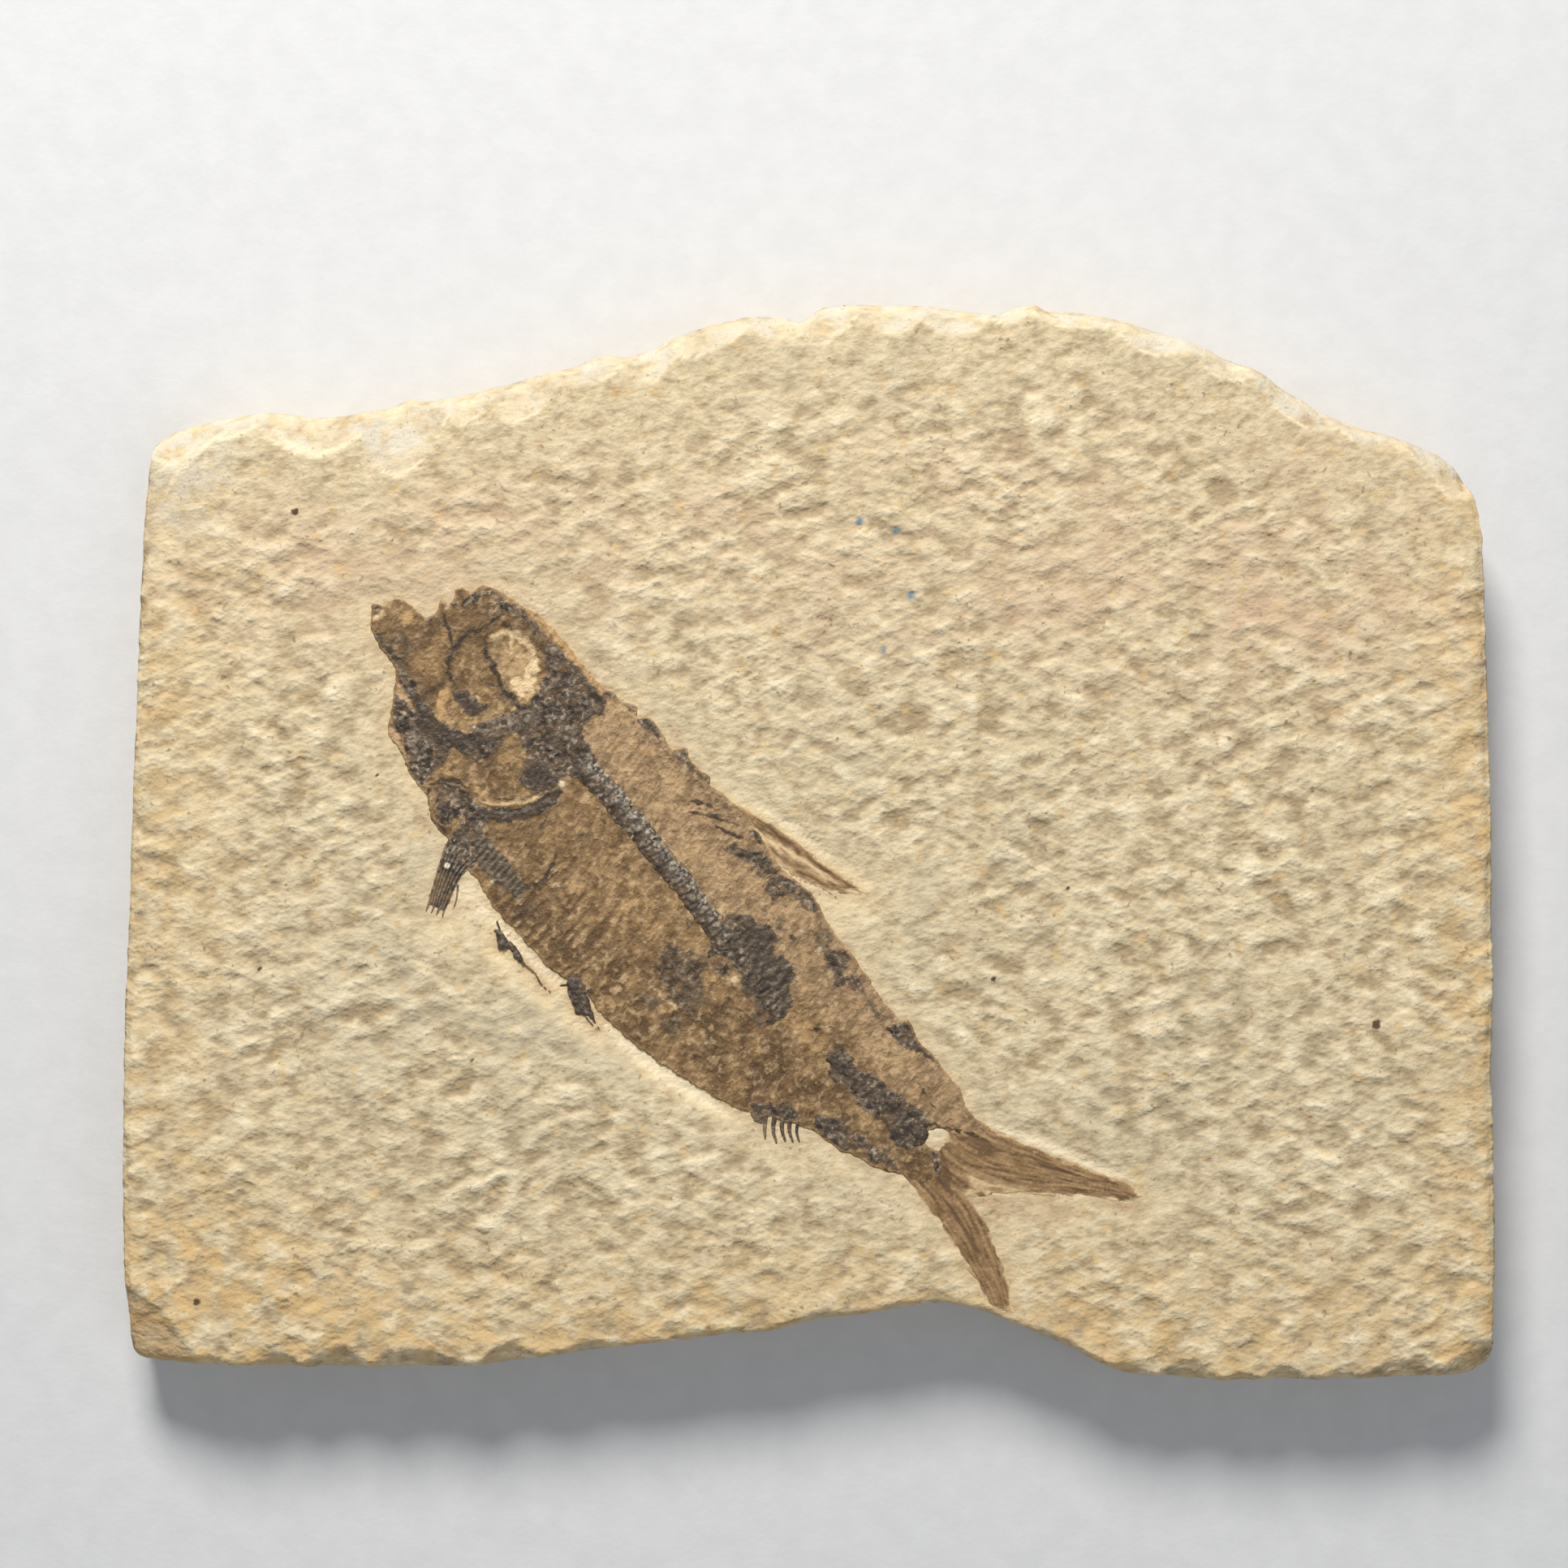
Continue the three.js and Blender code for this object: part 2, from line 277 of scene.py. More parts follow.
def reliefPiece(name, piece, edge, height, marks, material, slotName, *nodes):
    # a low closed relief over an outline in the fish's axes
    x, y, quads, rim = trimmedGrid(piece, edge)
    away = np.minimum(edge(x, y), 0)
    top = np.stack([*toSlab(x, y), height(x, y, away)], -1)
    count = len(x)
    verts = np.vstack([top, np.column_stack([top[:, :2], np.full(count, piece["bottom"])])])
    walls = np.stack([rim[:, 1], rim[:, 0], rim[:, 0] + count, rim[:, 1] + count], -1)
    faces = np.vstack([quads, quads[:, ::-1] + count, walls])
    # the top fills most of the bake map; the underside and the rim lie beside it
    low, high = np.array(piece["low"], float), np.array(piece["high"], float)
    size = (high - low).max()
    flat, share = (np.stack([x, y], -1) - low) / size, (high - low)[1] / size
    uvs = np.concatenate([
        flat[quads] * 0.98 + 0.01,
        flat[quads[:, ::-1]] * 0.4 + [0.01, share + 0.03],
        stripUvs(len(walls), (0.45, share + 0.03), (0.5, 0.2)),
    ])
    masks = {key: np.concatenate([values, values]) for key, values in marks(x, y, away).items()}
    return newPiece(name, verts, faces.tolist(), masks, uvs, material, slotName, *nodes)


# materials

def srgb(red, green, blue):
    values = [c / 255 for c in (red, green, blue)]
    return [c / 12.92 if c <= 0.04045 else ((c + 0.055) / 1.055) ** 2.4 for c in values] + [1.0]


def tonesOf(settings):
    # the colours in a dictionary, ready for the nodes
    return {key: srgb(*value) for key, value in settings.items() if isinstance(value, tuple)}


class Finish:
    # a procedural material, built up layer by layer

    def __init__(self, name, roughness, specular):
        self.material = bpy.data.materials.new(name)
        self.material.use_nodes = True
        self.nodes = self.material.node_tree.nodes
        self.shader = self.nodes["Principled BSDF"]
        self.shader.inputs["Roughness"].default_value = roughness
        self.shader.inputs["Specular IOR Level"].default_value = specular
        self.place = self.add("ShaderNodeTexCoord").outputs["Object"]

    def add(self, kind, settings=None, **inputs):
        node = self.nodes.new(kind)
        for key, value in (settings or {}).items():
            setattr(node, key, value)
        for key, value in inputs.items():
            self.feed(node.inputs[int(key[1:]) if key[0] == "i" and key[1:].isdigit() else key], value)
        return node

    def feed(self, socket, value):
        if isinstance(value, bpy.types.NodeSocket):
            self.material.node_tree.links.new(value, socket)
        else:
            socket.default_value = value

    def mask(self, name):
        return self.add("ShaderNodeAttribute", {"attribute_name": name}).outputs["Fac"]

    def noise(self, size, detail=2.0, rough=0.5, stretch=1.0, turn=0.0, warp=0.0):
        # size is in mm; stretched noise is longer in the direction turn, in degrees
        place = self.place
        if stretch != 1.0:
            turned = self.add("ShaderNodeVectorRotate", {"rotation_type": "Z_AXIS"},
                              Vector=place, Angle=-math.radians(turn))
            place = self.add("ShaderNodeVectorMath", {"operation": "MULTIPLY"},
                             i0=turned.outputs[0], i1=(1 / stretch, 1, 1)).outputs[0]
        return self.add("ShaderNodeTexNoise", None, Vector=place, Scale=1 / (size * mm), Detail=detail,
                        Roughness=rough, Distortion=warp).outputs["Fac"]

    def sums(self, operation, first, *others):
        total = first
        for other in others:
            total = self.add("ShaderNodeMath", {"operation": operation}, i0=total, i1=other).outputs[0]
        return total

    def plus(self, *values):
        return self.sums("ADD", *values)

    def minus(self, *values):
        return self.sums("SUBTRACT", *values)

    def times(self, *values):
        return self.sums("MULTIPLY", *values)

    def step(self, value, low, high):
        # 0 at low to 1 at high, with soft ends
        node = self.add("ShaderNodeMapRange", {"interpolation_type": "SMOOTHSTEP"}, Value=value)
        node.inputs["From Min"].default_value = low
        node.inputs["From Max"].default_value = high
        return node.outputs["Result"]

    def mix(self, share, a, b):
        return self.add("ShaderNodeMix", {"data_type": "RGBA"}, i0=share, i6=a, i7=b).outputs[2]

    def cover(self, color, tone, *shares):
        # a tone over the colour so far, as strong as its shares multiplied together
        return self.mix(self.times(*shares), color, tone)

    def bump(self, height, depth, over=None):
        node = self.add("ShaderNodeBump", None, Height=height, Distance=depth * mm, Strength=1.0)
        if over is not None:
            self.feed(node.inputs["Normal"], over)
        return node.outputs[0]

    def done(self, color, normal, roughness=None):
        self.feed(self.shader.inputs["Base Color"], color)
        self.feed(self.shader.inputs["Normal"], normal)
        if roughness is not None:
            self.feed(self.shader.inputs["Roughness"], roughness)
        return self.material


# the slab of limestone; shares say how strongly a tone covers the stone, sizes are in mm

limestone = {
    # the light tone and the darker hollow tone paint highlight and shade over the relief on the cream; the
    # hollow tone also darkens smoky patches and freckles
    "cream": (217, 200, 165), "light": (238, 224, 192), "shadeAndSmudge": (169, 149, 117), "dirt": (120, 92, 68),
    "pinkTan": (205, 176, 146), "golden": (214, 181, 128), "greyed": (190, 180, 154),
    "fresh": (211, 203, 184), "groove": (243, 226, 192), "rust": (158, 104, 74),
    "halo": (236, 215, 174), "stain": (196, 160, 114), "speck": (98, 76, 58),
    "blueSpeck": (116, 138, 150),
    "lumpSize": 1.5, "lumpStretch": 2.5, "lumpTurns": [24, -22], "fineSize": 0.62, "grainSize": 0.3,
    "blotchSize": 6, "goldSize": 2.2, "stainSize": 1.9, "smokeSize": 1.5, "chipSize": 2.4,
    "dirtSize": 0.6, "pitSize": 0.34, "freckleSize": 0.26, "goldShare": 0.6, "smokeShare": 0.34,
    "haloShare": 0.7, "stainShare": 0.55, "crestShare": 0.8, "grooveShare": 0.9, "lineShare": 0.55,
    "rustShare": 0.7, "dirtShare": 0.6, "pitShare": 0.45, "freckleShare": 0.22,
    "roughness": 0.92, "specular": 0.25, "bumpDepth": 0.84, "fineDepth": 0.17, "grainDepth": 0.05,
}


def limestoneFinish():
    s, tone = limestone, tonesOf(limestone)
    f = Finish("limestone", s["roughness"], s["specular"])
    rising, falling = [f.noise(s["lumpSize"], 2, 0.45, s["lumpStretch"], turn) for turn in s["lumpTurns"]]
    lumpy = f.minus(f.times(f.plus(rising, falling), 0.5), 0.5)
    lumpy = f.plus(f.times(lumpy, f.mask("rough")), 0.5)
    fine = f.noise(s["fineSize"], 2, 0.5, stretch=1.5, turn=8)
    grain = f.noise(s["grainSize"], 2, 0.5)
    blotch = f.noise(s["blotchSize"], 3, 0.6)
    # painted highlight and shade: where the relief and the bump noise stand high the colour is lighter, where
    # they lie low it is darker
    relief = f.plus(f.times(f.mask("relief"), 0.5), f.times(lumpy, 0.8), f.times(f.minus(fine, 0.5), 0.5))
    color = f.mix(f.step(relief, 0.42, 0.74), tone["shadeAndSmudge"], tone["cream"])
    color = f.cover(color, tone["light"], f.step(relief, 0.68, 0.95))
    # tinted zones, stains and smoky patches
    color = f.cover(color, tone["pinkTan"], f.mask("pink"), f.step(blotch, 0.3, 0.85))
    color = f.cover(color, tone["golden"], f.mask("gold"), f.step(f.noise(s["goldSize"], 3, 0.6), 0.36, 0.66))
    color = f.cover(color, tone["greyed"], f.mask("grey"), f.step(blotch, 0.4, 0.7))
    stain = f.step(f.noise(s["stainSize"], 3, 0.6), 0.56, 0.72)
    color = f.cover(color, tone["golden"], stain, s["goldShare"])
    smoke = f.step(f.noise(s["smokeSize"], 3, 0.6, stretch=1.6, turn=5), 0.54, 0.72)
    color = f.cover(color, tone["shadeAndSmudge"], smoke, s["smokeShare"])
    for name in ("halo", "stain"):
        color = f.cover(color, tone[name], f.mask(name), s[name + "Share"])
    color = f.cover(color, tone["fresh"], f.mask("chip"), f.step(f.noise(s["chipSize"], 3, 0.6), 0.34, 0.62))
    # the crests of the chipped rims and the ridges get the light tone: paler stone, and a painted highlight
    # along the rims
    for name, toneName in (("crest", "light"), ("groove", "groove"), ("line", "dirt"), ("rust", "rust")):
        color = f.cover(color, tone[toneName], f.mask(name), s[name + "Share"])
    # dirt, painted shade in small pits, freckles and specks
    dirt = f.times(f.step(f.noise(s["dirtSize"], 2, 0.5), 0.62, 0.74), f.step(f.noise(4.5, 3, 0.6), 0.4, 0.6))
    color = f.cover(color, tone["dirt"], dirt, s["dirtShare"])
    # painted shade: small dark spots only in the hollows, in the dirt tone, with no depth in the mesh
    pitShade = f.times(f.step(f.noise(s["pitSize"], 2, 0.5), 0.36, 0.24), f.step(relief, 0.66, 0.42))
    color = f.cover(color, tone["dirt"], pitShade, f.plus(f.times(f.mask("pink"), 0.3), s["pitShare"]))
    freckles = f.step(f.noise(s["freckleSize"], 3, 0.6), 0.5, 0.7)
    color = f.cover(color, tone["shadeAndSmudge"], freckles, s["freckleShare"])
    color = f.cover(color, tone["speck"], f.step(f.plus(f.mask("speck"), f.times(grain, 0.3)), 0.42, 0.72))
    color = f.cover(color, tone["blueSpeck"], f.step(f.mask("blue"), 0.2, 0.8))
    normal = f.bump(grain, s["grainDepth"])
    normal = f.bump(fine, s["fineDepth"], normal)
    normal = f.bump(lumpy, s["bumpDepth"], normal)
    return f.done(color, normal)


stoneSlab = {
    "columns": 304, "rows": 240, "wallRows": 14,
    "edgeCrowding": 0.12,  # how much finer the grid is near the slab's edges
    "backSkip": 4,  # the back has one grid line for this many of the face's
    "corners": {"lowerLeft": (-64.3, -49), "lowerRight": (64.3, -49.9), "upperRight": (62.4, 34.2),
                "upperLeft": (-61.5, 38.6)},
    "backShrink": 2.4 / 58,  # how much smaller the back is than the face
    "bedFill": 0.17,  # how far the stone beside the fish stands above the bed
    "bumpWidth": 1.15, "bumpStretch": 2.2, "bumpTurn": 24, "bumpHeight": 0.22,
    "crossTurn": -23,  # the crossing grain
    "swell": 0.07,  # height of the face's broad undulation
    "lamina": 0.3,  # thickness of the layers that the lower edge breaks into
    "grooveDepth": 0.07, "lineDepth": 0.04, "crestHeight": 0.05,
    "baseRound": 0.9, "baseInset": 1.2, "wallLedges": 0.8,
    "cornerChip": [
        (-68, -40.8), (-65, -42.2), (-62, -44), (-60.2, -45.8), (-59, -47.6), (-57.6, -49.6),
        (-56.5, -53),
    ],
    "cornerSlope": 0.42,
    # chips along the edges: centre, half length and width in mm, and slope
    "archedChips": [
        (-59.5, 5.0, 3.4, 0.5), (-55, 4.2, 2.4, 0.55), (-47.2, 6.6, 4.3, 0.42), (-38.6, 5.2, 7.2, 0.3),
        (-32.5, 3.6, 3.0, 0.45), (-27, 4.6, 4.2, 0.4), (-20.5, 4.2, 2.6, 0.5), (-15, 3.8, 3.4, 0.42),
        (-9.5, 5.2, 3.0, 0.5), (-3, 3.6, 2.5, 0.55), (2, 3.2, 3.4, 0.42), (7.5, 4.8, 3.2, 0.45),
        (13.5, 4.2, 3.0, 0.5), (19.5, 2.6, 1.6, 0.7), (25, 5.4, 1.9, 0.55), (32.5, 5, 2.6, 0.45),
        (39, 4.4, 2.2, 0.5), (46, 5.5, 2.6, 0.45), (53.5, 5, 2.0, 0.5), (60, 4, 2.6, 0.5),
    ],
    "lowerChips": [
        (-57, 2.4, 1.1, 0.9), (-50.4, 2.8, 1.9, 0.8), (-44.6, 3.6, 2.5, 0.7), (-37.2, 5.4, 2.2, 0.8),
        (-28.4, 3.2, 2.0, 0.8), (-20.5, 3.6, 1.3, 0.9), (-10, 5, 0.9, 0.9), (0, 4, 1.0, 0.9),
        (9, 4, 0.8, 0.9), (24, 3, 1.0, 0.9), (30.5, 2.6, 1.5, 0.8), (36.2, 3, 2.2, 0.7),
        (41.2, 1.8, 1.3, 0.9), (45, 2.3, 1.7, 0.8), (50.5, 2.2, 1.2, 0.9), (57, 5.4, 2.4, 0.5),
        (63.5, 4, 3.2, 0.45),
    ],
    # tinted zones: centre, radii and strength
    "zones": {
        "pink": [
            ((-42, 28), (22, 9), 0.9), ((-10, 30), (26, 10), 0.5), ((28, 27), (32, 12), 0.8),
            ((48, 22), (16, 14), 0.6),
        ],
        "gold": [
            ((66, -5), (7, 60), 1.0), ((0, -48), (80, 8), 0.9), ((-58, -44), (14, 12), 0.8),
            ((-62, 0), (7, 40), 0.6),
        ],
        "grey": [
            ((-30, -14), (24, 18), 0.6), ((8, 2), (16, 14), 0.5), ((30, -22), (26, 12), 0.35),
            ((0, 46), (40, 5), 0.4),
        ],
    },
    # in the fish's axes, pale grooves, fine dark lines and rusty smears: points, width and strength
    "grooves": [
        ([(71.6, 4.2), (74.7, 5.7), (77.5, 7), (80.1, 8.1), (83, 9.4), (85.4, 10.6)], 0.9, 1.0),
        ([(31, 8.6), (34, 9.5), (37, 10.2), (40, 10.7), (43, 11.3)], 0.7, 0.8),
        ([(40, -15.3), (44, -15), (48, -14.3), (51, -13.6), (54, -12.8)], 1.3, 1.0),
        ([(23, -15.8), (27, -16), (31, -16), (34.4, -15.6)], 1.0, 0.9),
        ([(18.6, -8.8), (19.5, -8.7)], 0.3, 0.6), ([(68.2, -1), (69.2, 0.2), (70.2, 0.4)], 1.4, 0.25),
        ([(21.2, -15), (22.6, -16.6), (24.4, -16.8)], 2.6, 0.6),
    ],
    "lines": [
        ([(71.4, 4.7), (73.7, 6.1), (76.6, 7.7), (79.6, 8.9), (82.4, 10)], 0.26, 1.0),
        ([(32, 9.2), (36, 10.3), (40, 11.1), (44, 12.2)], 0.12, 0.5),
        ([(48, 12.5), (48.7, 9.8), (49.1, 7.2)], 0.14, 0.35),
        ([(23, -15.6), (27, -15.9), (31, -15.9)], 0.12, 0.5),
        ([(41, -15.9), (46, -15.4), (50, -14.4)], 0.12, 0.5),
        ([(69.6, -5.6), (71.6, -5.9), (73, -5.8)], 0.14, 0.5),
    ],
    "rust": [
        ([(74.8, -7.1), (75, -7)], 0.5, 1.0), ([(75.6, -1.4), (77.6, -1)], 1.2, 0.35),
        ([(77, -0.4), (79.6, 0.4), (82.4, 3), (84.8, 5.6)], 1.5, 0.3),
        ([(77.6, -0.9), (79.2, -1.3)], 0.3, 0.8), ([(79, -0.6), (80, -0.9)], 0.24, 0.7),
        ([(76.2, -2.6), (78, -3)], 0.24, 0.5), ([(84, 6.6), (86.4, 8), (88, 9.6)], 0.6, 0.4),
        ([(28.6, -16.6), (31, -16.7), (33, -16.4)], 0.7, 0.4),
        ([(3.6, -9.4), (4.4, -11), (6, -11.8)], 0.7, 0.4),
        ([(12, -13.6), (13.4, -14.4), (15, -14.6)], 0.7, 0.5),
        ([(20.8, -18), (22.4, -17.2), (23.6, -16)], 1.2, 0.35), ([(24, 8.4), (25.6, 8.6)], 0.7, 0.6),
        ([(2.2, -7.4), (2.4, -9.2)], 0.2, 0.6), ([(3, -8), (3, -9.8)], 0.18, 0.5),
        ([(3.8, -8.6), (3.8, -10.3)], 0.2, 0.6), ([(4.6, -9.6), (4.8, -11.2)], 0.2, 0.5),
        ([(1.2, -6.4), (1.2, -7.6)], 0.16, 0.45),
    ],
    # in the slab's axes, pale ridges between the chips at the upper left corner
    "ridges": [
        ([(-60.8, 33.2), (-60, 34.7), (-58.7, 36), (-57.4, 37.3), (-56.3, 38.3), (-55.2, 38.8)], 0.5,
         1.0),
        ([(-57.4, 34.6), (-57.3, 36.3), (-56.6, 37.3), (-55.6, 36.9), (-54.4, 36.9), (-53.4, 36.6),
         (-52.1, 36.8)], 0.4, 0.8),
        ([(-51, 39.7), (-50, 38.4), (-48.4, 37.3), (-46.8, 36.8), (-44.9, 37.3), (-43.3, 38),
         (-42.1, 38.9)], 0.5, 1.0),
        ([(-62.2, 34.7), (-61.1, 35.5), (-59.2, 36.5), (-57.9, 37.9)], 0.4, 0.7),
        ([(-61.6, 30.6), (-60.6, 31.4), (-60.1, 32.6)], 0.4, 0.6),
    ],
    # specks: place and radius
    "darkSpecks": [
        (-48.7, 31.3, 0.5), (-58, -43.6, 0.5), (-32, -20.8, 0.35), (17.4, -13, 0.35), (24.7, -4.4, 0.3),
        (53.8, -17.3, 0.6), (-40.8, 6.3, 0.3), (-39.6, 28.5, 0.3), (38, 12, 0.3), (-52, -12, 0.3),
    ],
    "blueSpecks": [(4.8, 30.4, 0.5), (8.3, 29.5, 0.45), (9.7, 23.4, 0.5), (7, 18.2, 0.4)],
}


def cadOutline(node, height):
    # a CAD node's outline at one height, anticlockwise
    points = {(round(v.co.x / mm, 3), round(v.co.y / mm, 3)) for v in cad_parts[node].data.vertices
              if abs(v.co.z / mm - height) < 0.02}
    return np.array(sorted(points, key=lambda p: math.atan2(p[1], p[0])))


widest = cadOutline("stone_slab", 3)


def slabSide(fromCorner, toCorner):
    # the slab's outline between the points nearest to two corners
    corners = stoneSlab["corners"]
    first = np.hypot(*(widest - corners[fromCorner]).T).argmin()
    last = np.hypot(*(widest - corners[toCorner]).T).argmin()
    around = np.arange(first, last + 1 if last > first else last + 1 + len(widest)) % len(widest)
    return smoothLine(widest[around], steps=5)


lowerEdge = slabSide("lowerLeft", "lowerRight")
rightEdge = slabSide("lowerRight", "upperRight")
archedEdge = slabSide("upperRight", "upperLeft")
leftEdge = slabSide("upperLeft", "lowerLeft")


def chipDrop(x, away, chips, seed):
    # how far each chip takes the face down: scoops with curved inner rims
    drop = np.zeros(x.shape)
    wander = 0.35 * lumps(x, away, 1.6, seed, 2)
    for centre, half, width, slope in chips:
        reach = width * (1 - ((x - centre) / half) ** 2) + wander * 0.6
        drop = np.maximum(drop, slope * (reach - away))
    return drop


def laminated(drop, x, y, lamina):
    # turns a slope into steps, as thin layers break
    level = drop / lamina + 0.35 * lumps(x, y, 2.2, 87)
    stepped = (np.floor(level) + ramp(level - np.floor(level), 0.62, 0.98)) * lamina
    return np.where(drop > 0.02, np.maximum(stepped, 0), 0)


def fishDistance(x, y):
    # how far outside the fish each point of the slab is, up to 9 mm
    x, y = toFish(x, y)
    away = np.full(x.shape, 9.0)
    near = (x > -14) & (x < 98) & (y > -28) & (y < 22)
    nx, ny = x[near], y[near]
    found = outlineDistance(nx, ny, smoothBody)
    for edge in (dorsalEdge, pectoralEdge, analEdge, upperLobeEdge, lowerLobeEdge,
                 frontScuteEdge, rearScuteEdge):
        found = np.minimum(found, edge(nx, ny))
    away[near] = np.minimum(found, 9.0)
    return away


def splitRelief(x, y):
    # the split face: two crossing grains over broader lumps
    s = stoneSlab
    warpedX, warpedY = x + 0.7 * lumps(x, y, 2.7, 61), y + 0.7 * lumps(x, y, 2.7, 62)
    rising = lumps(warpedX, warpedY, s["bumpWidth"], 21, 1, s["bumpStretch"], s["bumpTurn"])
    falling = lumps(warpedX, warpedY, s["bumpWidth"], 31, 1, s["bumpStretch"], s["crossTurn"])
    crossed = np.clip(0.45 + 0.35 * blob(x, y, (42, -28), (30, 22)) + 0.4 * lumps(x, y, 13, 63), 0, 1)
    small = rising * (1 - crossed) + falling * crossed
    return 0.92 * small + 0.38 * lumps(warpedX, warpedY, 1.9, 41, 2, 1.7, 8)


def specksMask(x, y, specks, tight):
    return sum(np.exp(-((x - cx) ** 2 + (y - cy) ** 2) / (tight * r) ** 2) for cx, cy, r in specks)


def stoneSurface(x, y):
    # the fossil face's height, and the masks that its colours use
    s = stoneSlab
    fishX, fishY = toFish(x, y)
    gap = fishDistance(x, y)
    toArched, toLower = lineDistance(x, y, archedEdge)[0], lineDistance(x, y, lowerEdge)[0]
    toEnds = np.minimum(lineDistance(x, y, leftEdge)[0], lineDistance(x, y, rightEdge)[0])
    relief = splitRelief(x, y)
    calm = (0.35 + 0.65 * ramp(gap, 0.6, 6.5)) * (0.3 + 0.7 * ramp(toArched, 5, 13))
    calm = calm * (1 + 0.45 * lumps(x, y, 9, 64, 2))
    # the stone sinks to the bed around the fish, deepest below the belly
    sink = ramp(gap, 0.5, 2.4 + 1.2 * ramp(lumps(fishX, fishY, 8, 65), -0.4, 0.4))
    ventral = ramp(fishY, -6, -12) * ramp(fishX, 20, 26) * ramp(fishX, 58, 53)
    back = ramp(fishY, 0, 5) * ramp(fishX, 30, 34) * ramp(fishX, 50, 46)
    trench = np.clip(1.3 * ventral + back, 0, 1) * ramp(gap, 0, 0.3) * ramp(gap, 1.8, 0.9)
    bed = bedZ + s["bedFill"] - 0.15 * trench
    z = bed + (faceZ - bed) * sink + relief * s["bumpHeight"] * calm
    z = z + s["swell"] * lumps(x, y, 15, 66, 2) * ramp(gap, 0, 4)
    # the edges: chips, layers, a broken corner and worn rims
    arched = chipDrop(x, toArched, s["archedChips"], 71)
    lower = laminated(chipDrop(x, toLower, s["lowerChips"], 72), x, y, s["lamina"])
    rounding = 0.9 * (1 - ramp(toArched, 0, 1.0)) + 0.5 * (1 - ramp(toLower, 0, 0.6))
    rounding = rounding + (0.5 + 0.35 * lumps(x, y, 3.5, 67)) * (1 - ramp(toEnds, 0, 1.1))
    inCorner = -outlineDistance(x, y, s["cornerChip"] + [(-75, -60)])
    corner = np.maximum(0, inCorner) * s["cornerSlope"] + 0.22 * ramp(inCorner, 0, 0.3)
    chipped = np.maximum(np.maximum(arched, lower), corner)
    flattened = 1 - 0.75 * ramp(chipped, 0.02, 0.35)
    # crest: a thin band along the top of each chip, raised a little and coloured pale, as paler stone and a
    # painted highlight
    crest = ramp(arched, 0, 0.05) * ramp(arched, 0.2, 0.09) * ramp(lumps(x, y, 4, 70), -0.4, 0.1)
    ridges = strokes(x + 0.15 * lumps(x, y, 1.1, 75), y, s["ridges"], 0.18)
    crest = np.maximum(crest, ridges * ramp(toArched, 0.3, 0.9))
    z = np.minimum(z, faceZ + (z - faceZ) * flattened) - chipped - rounding + s["crestHeight"] * crest
    # scratches beside the fish, and the bed under its rim
    grooves = strokes(fishX, fishY, s["grooves"], 0.15)
    lines = strokes(fishX, fishY, s["lines"], 0.08)
    rust = strokes(fishX + 0.2 * lumps(x, y, 0.8, 74), fishY, s["rust"], 0.15)
    z = z - s["grooveDepth"] * grooves - s["lineDepth"] * lines
    under = bedZ + 0.02 + (s["bedFill"] - 0.02) * ramp(gap, -0.7, -0.1)
    z = np.minimum(z, np.where(gap < 0.7, under + 0.12 * ramp(gap, 0.1, 0.7), 99))
    cornerGlow = ramp(blob(x, y, (-60.5, 37), (6.5, 8.5)), 0.15, 0.75)
    freshness = 0.45 + 0.65 * ramp(lumps(x, y, 5, 68, 2), -0.3, 0.15)
    stainEdge = 1 - ramp(gap + 0.3 * lumps(x, y, 1.2, 69), 0, 0.9)
    masks = {
        # relief is the face's height, which the limestone paints as highlight and shade
        "relief": np.clip(0.5 + 0.62 * relief * (0.45 + 0.55 * calm), 0, 1), "rough": calm,
        "halo": (0.3 + 0.7 * ventral + 0.5 * back) * (1 - ramp(gap, 0.7, 2.6)),
        "stain": (0.35 + 0.65 * ventral) * stainEdge + 0.8 * ramp(inCorner, 0.1, 0.8),
        "chip": ramp(arched, 0.02, 0.3) * freshness + 0.7 * cornerGlow,
        "crest": crest, "groove": grooves, "line": lines, "rust": rust,
        "speck": np.clip(specksMask(x, y, s["darkSpecks"], 0.75), 0, 1),
        "blue": np.clip(specksMask(x, y, s["blueSpecks"], 1), 0, 1),
    }
    for key, zone in s["zones"].items():
        masks[key] = np.clip(sum(strength * blob(x, y, c, r) for c, r, strength in zone), 0, 1)
    return z, masks


def slabGrid():
    # a grid that fills the slab's outline, finer near its edges, with a rim nibbled inwards
    s = stoneSlab
    even = [np.linspace(0, 1, s[key] + 1) for key in ("columns", "rows")]
    u, v = [t - s["edgeCrowding"] * np.sin(2 * math.pi * t) / (2 * math.pi) for t in even]
    lower, upper = evenly(lowerEdge, u), evenly(archedEdge[::-1], u)
    right, left = evenly(rightEdge, v), evenly(leftEdge[::-1], v)
    across, up = u[None, :, None], v[:, None, None]
    grid = ((1 - up) * lower[None] + up * upper[None] + (1 - across) * left[:, None] + across * right[:, None]
            - (1 - across) * (1 - up) * lower[0] - across * (1 - up) * lower[-1]
            - (1 - across) * up * upper[0] - across * up * upper[-1])
    index = np.arange(grid.shape[0] * grid.shape[1]).reshape(grid.shape[:2])
    ring = gridRing(index)
    flat = grid.reshape(-1, 2)
    rim = flat[ring]
    tangent = np.roll(rim, -1, 0) - np.roll(rim, 1, 0)
    inward = np.stack([-tangent[:, 1], tangent[:, 0]], -1) / np.hypot(*tangent.T)[:, None]
    walk = np.cumsum(np.hypot(*(rim - np.roll(rim, 1, 0)).T))  # how far round the rim each point is
    nibble = 0.1 + 0.09 * lumps(walk, walk * 0, 1.3, 81, 3)
    flat[ring] = rim + inward * nibble[:, None]
    return grid, index, ring, inward, walk


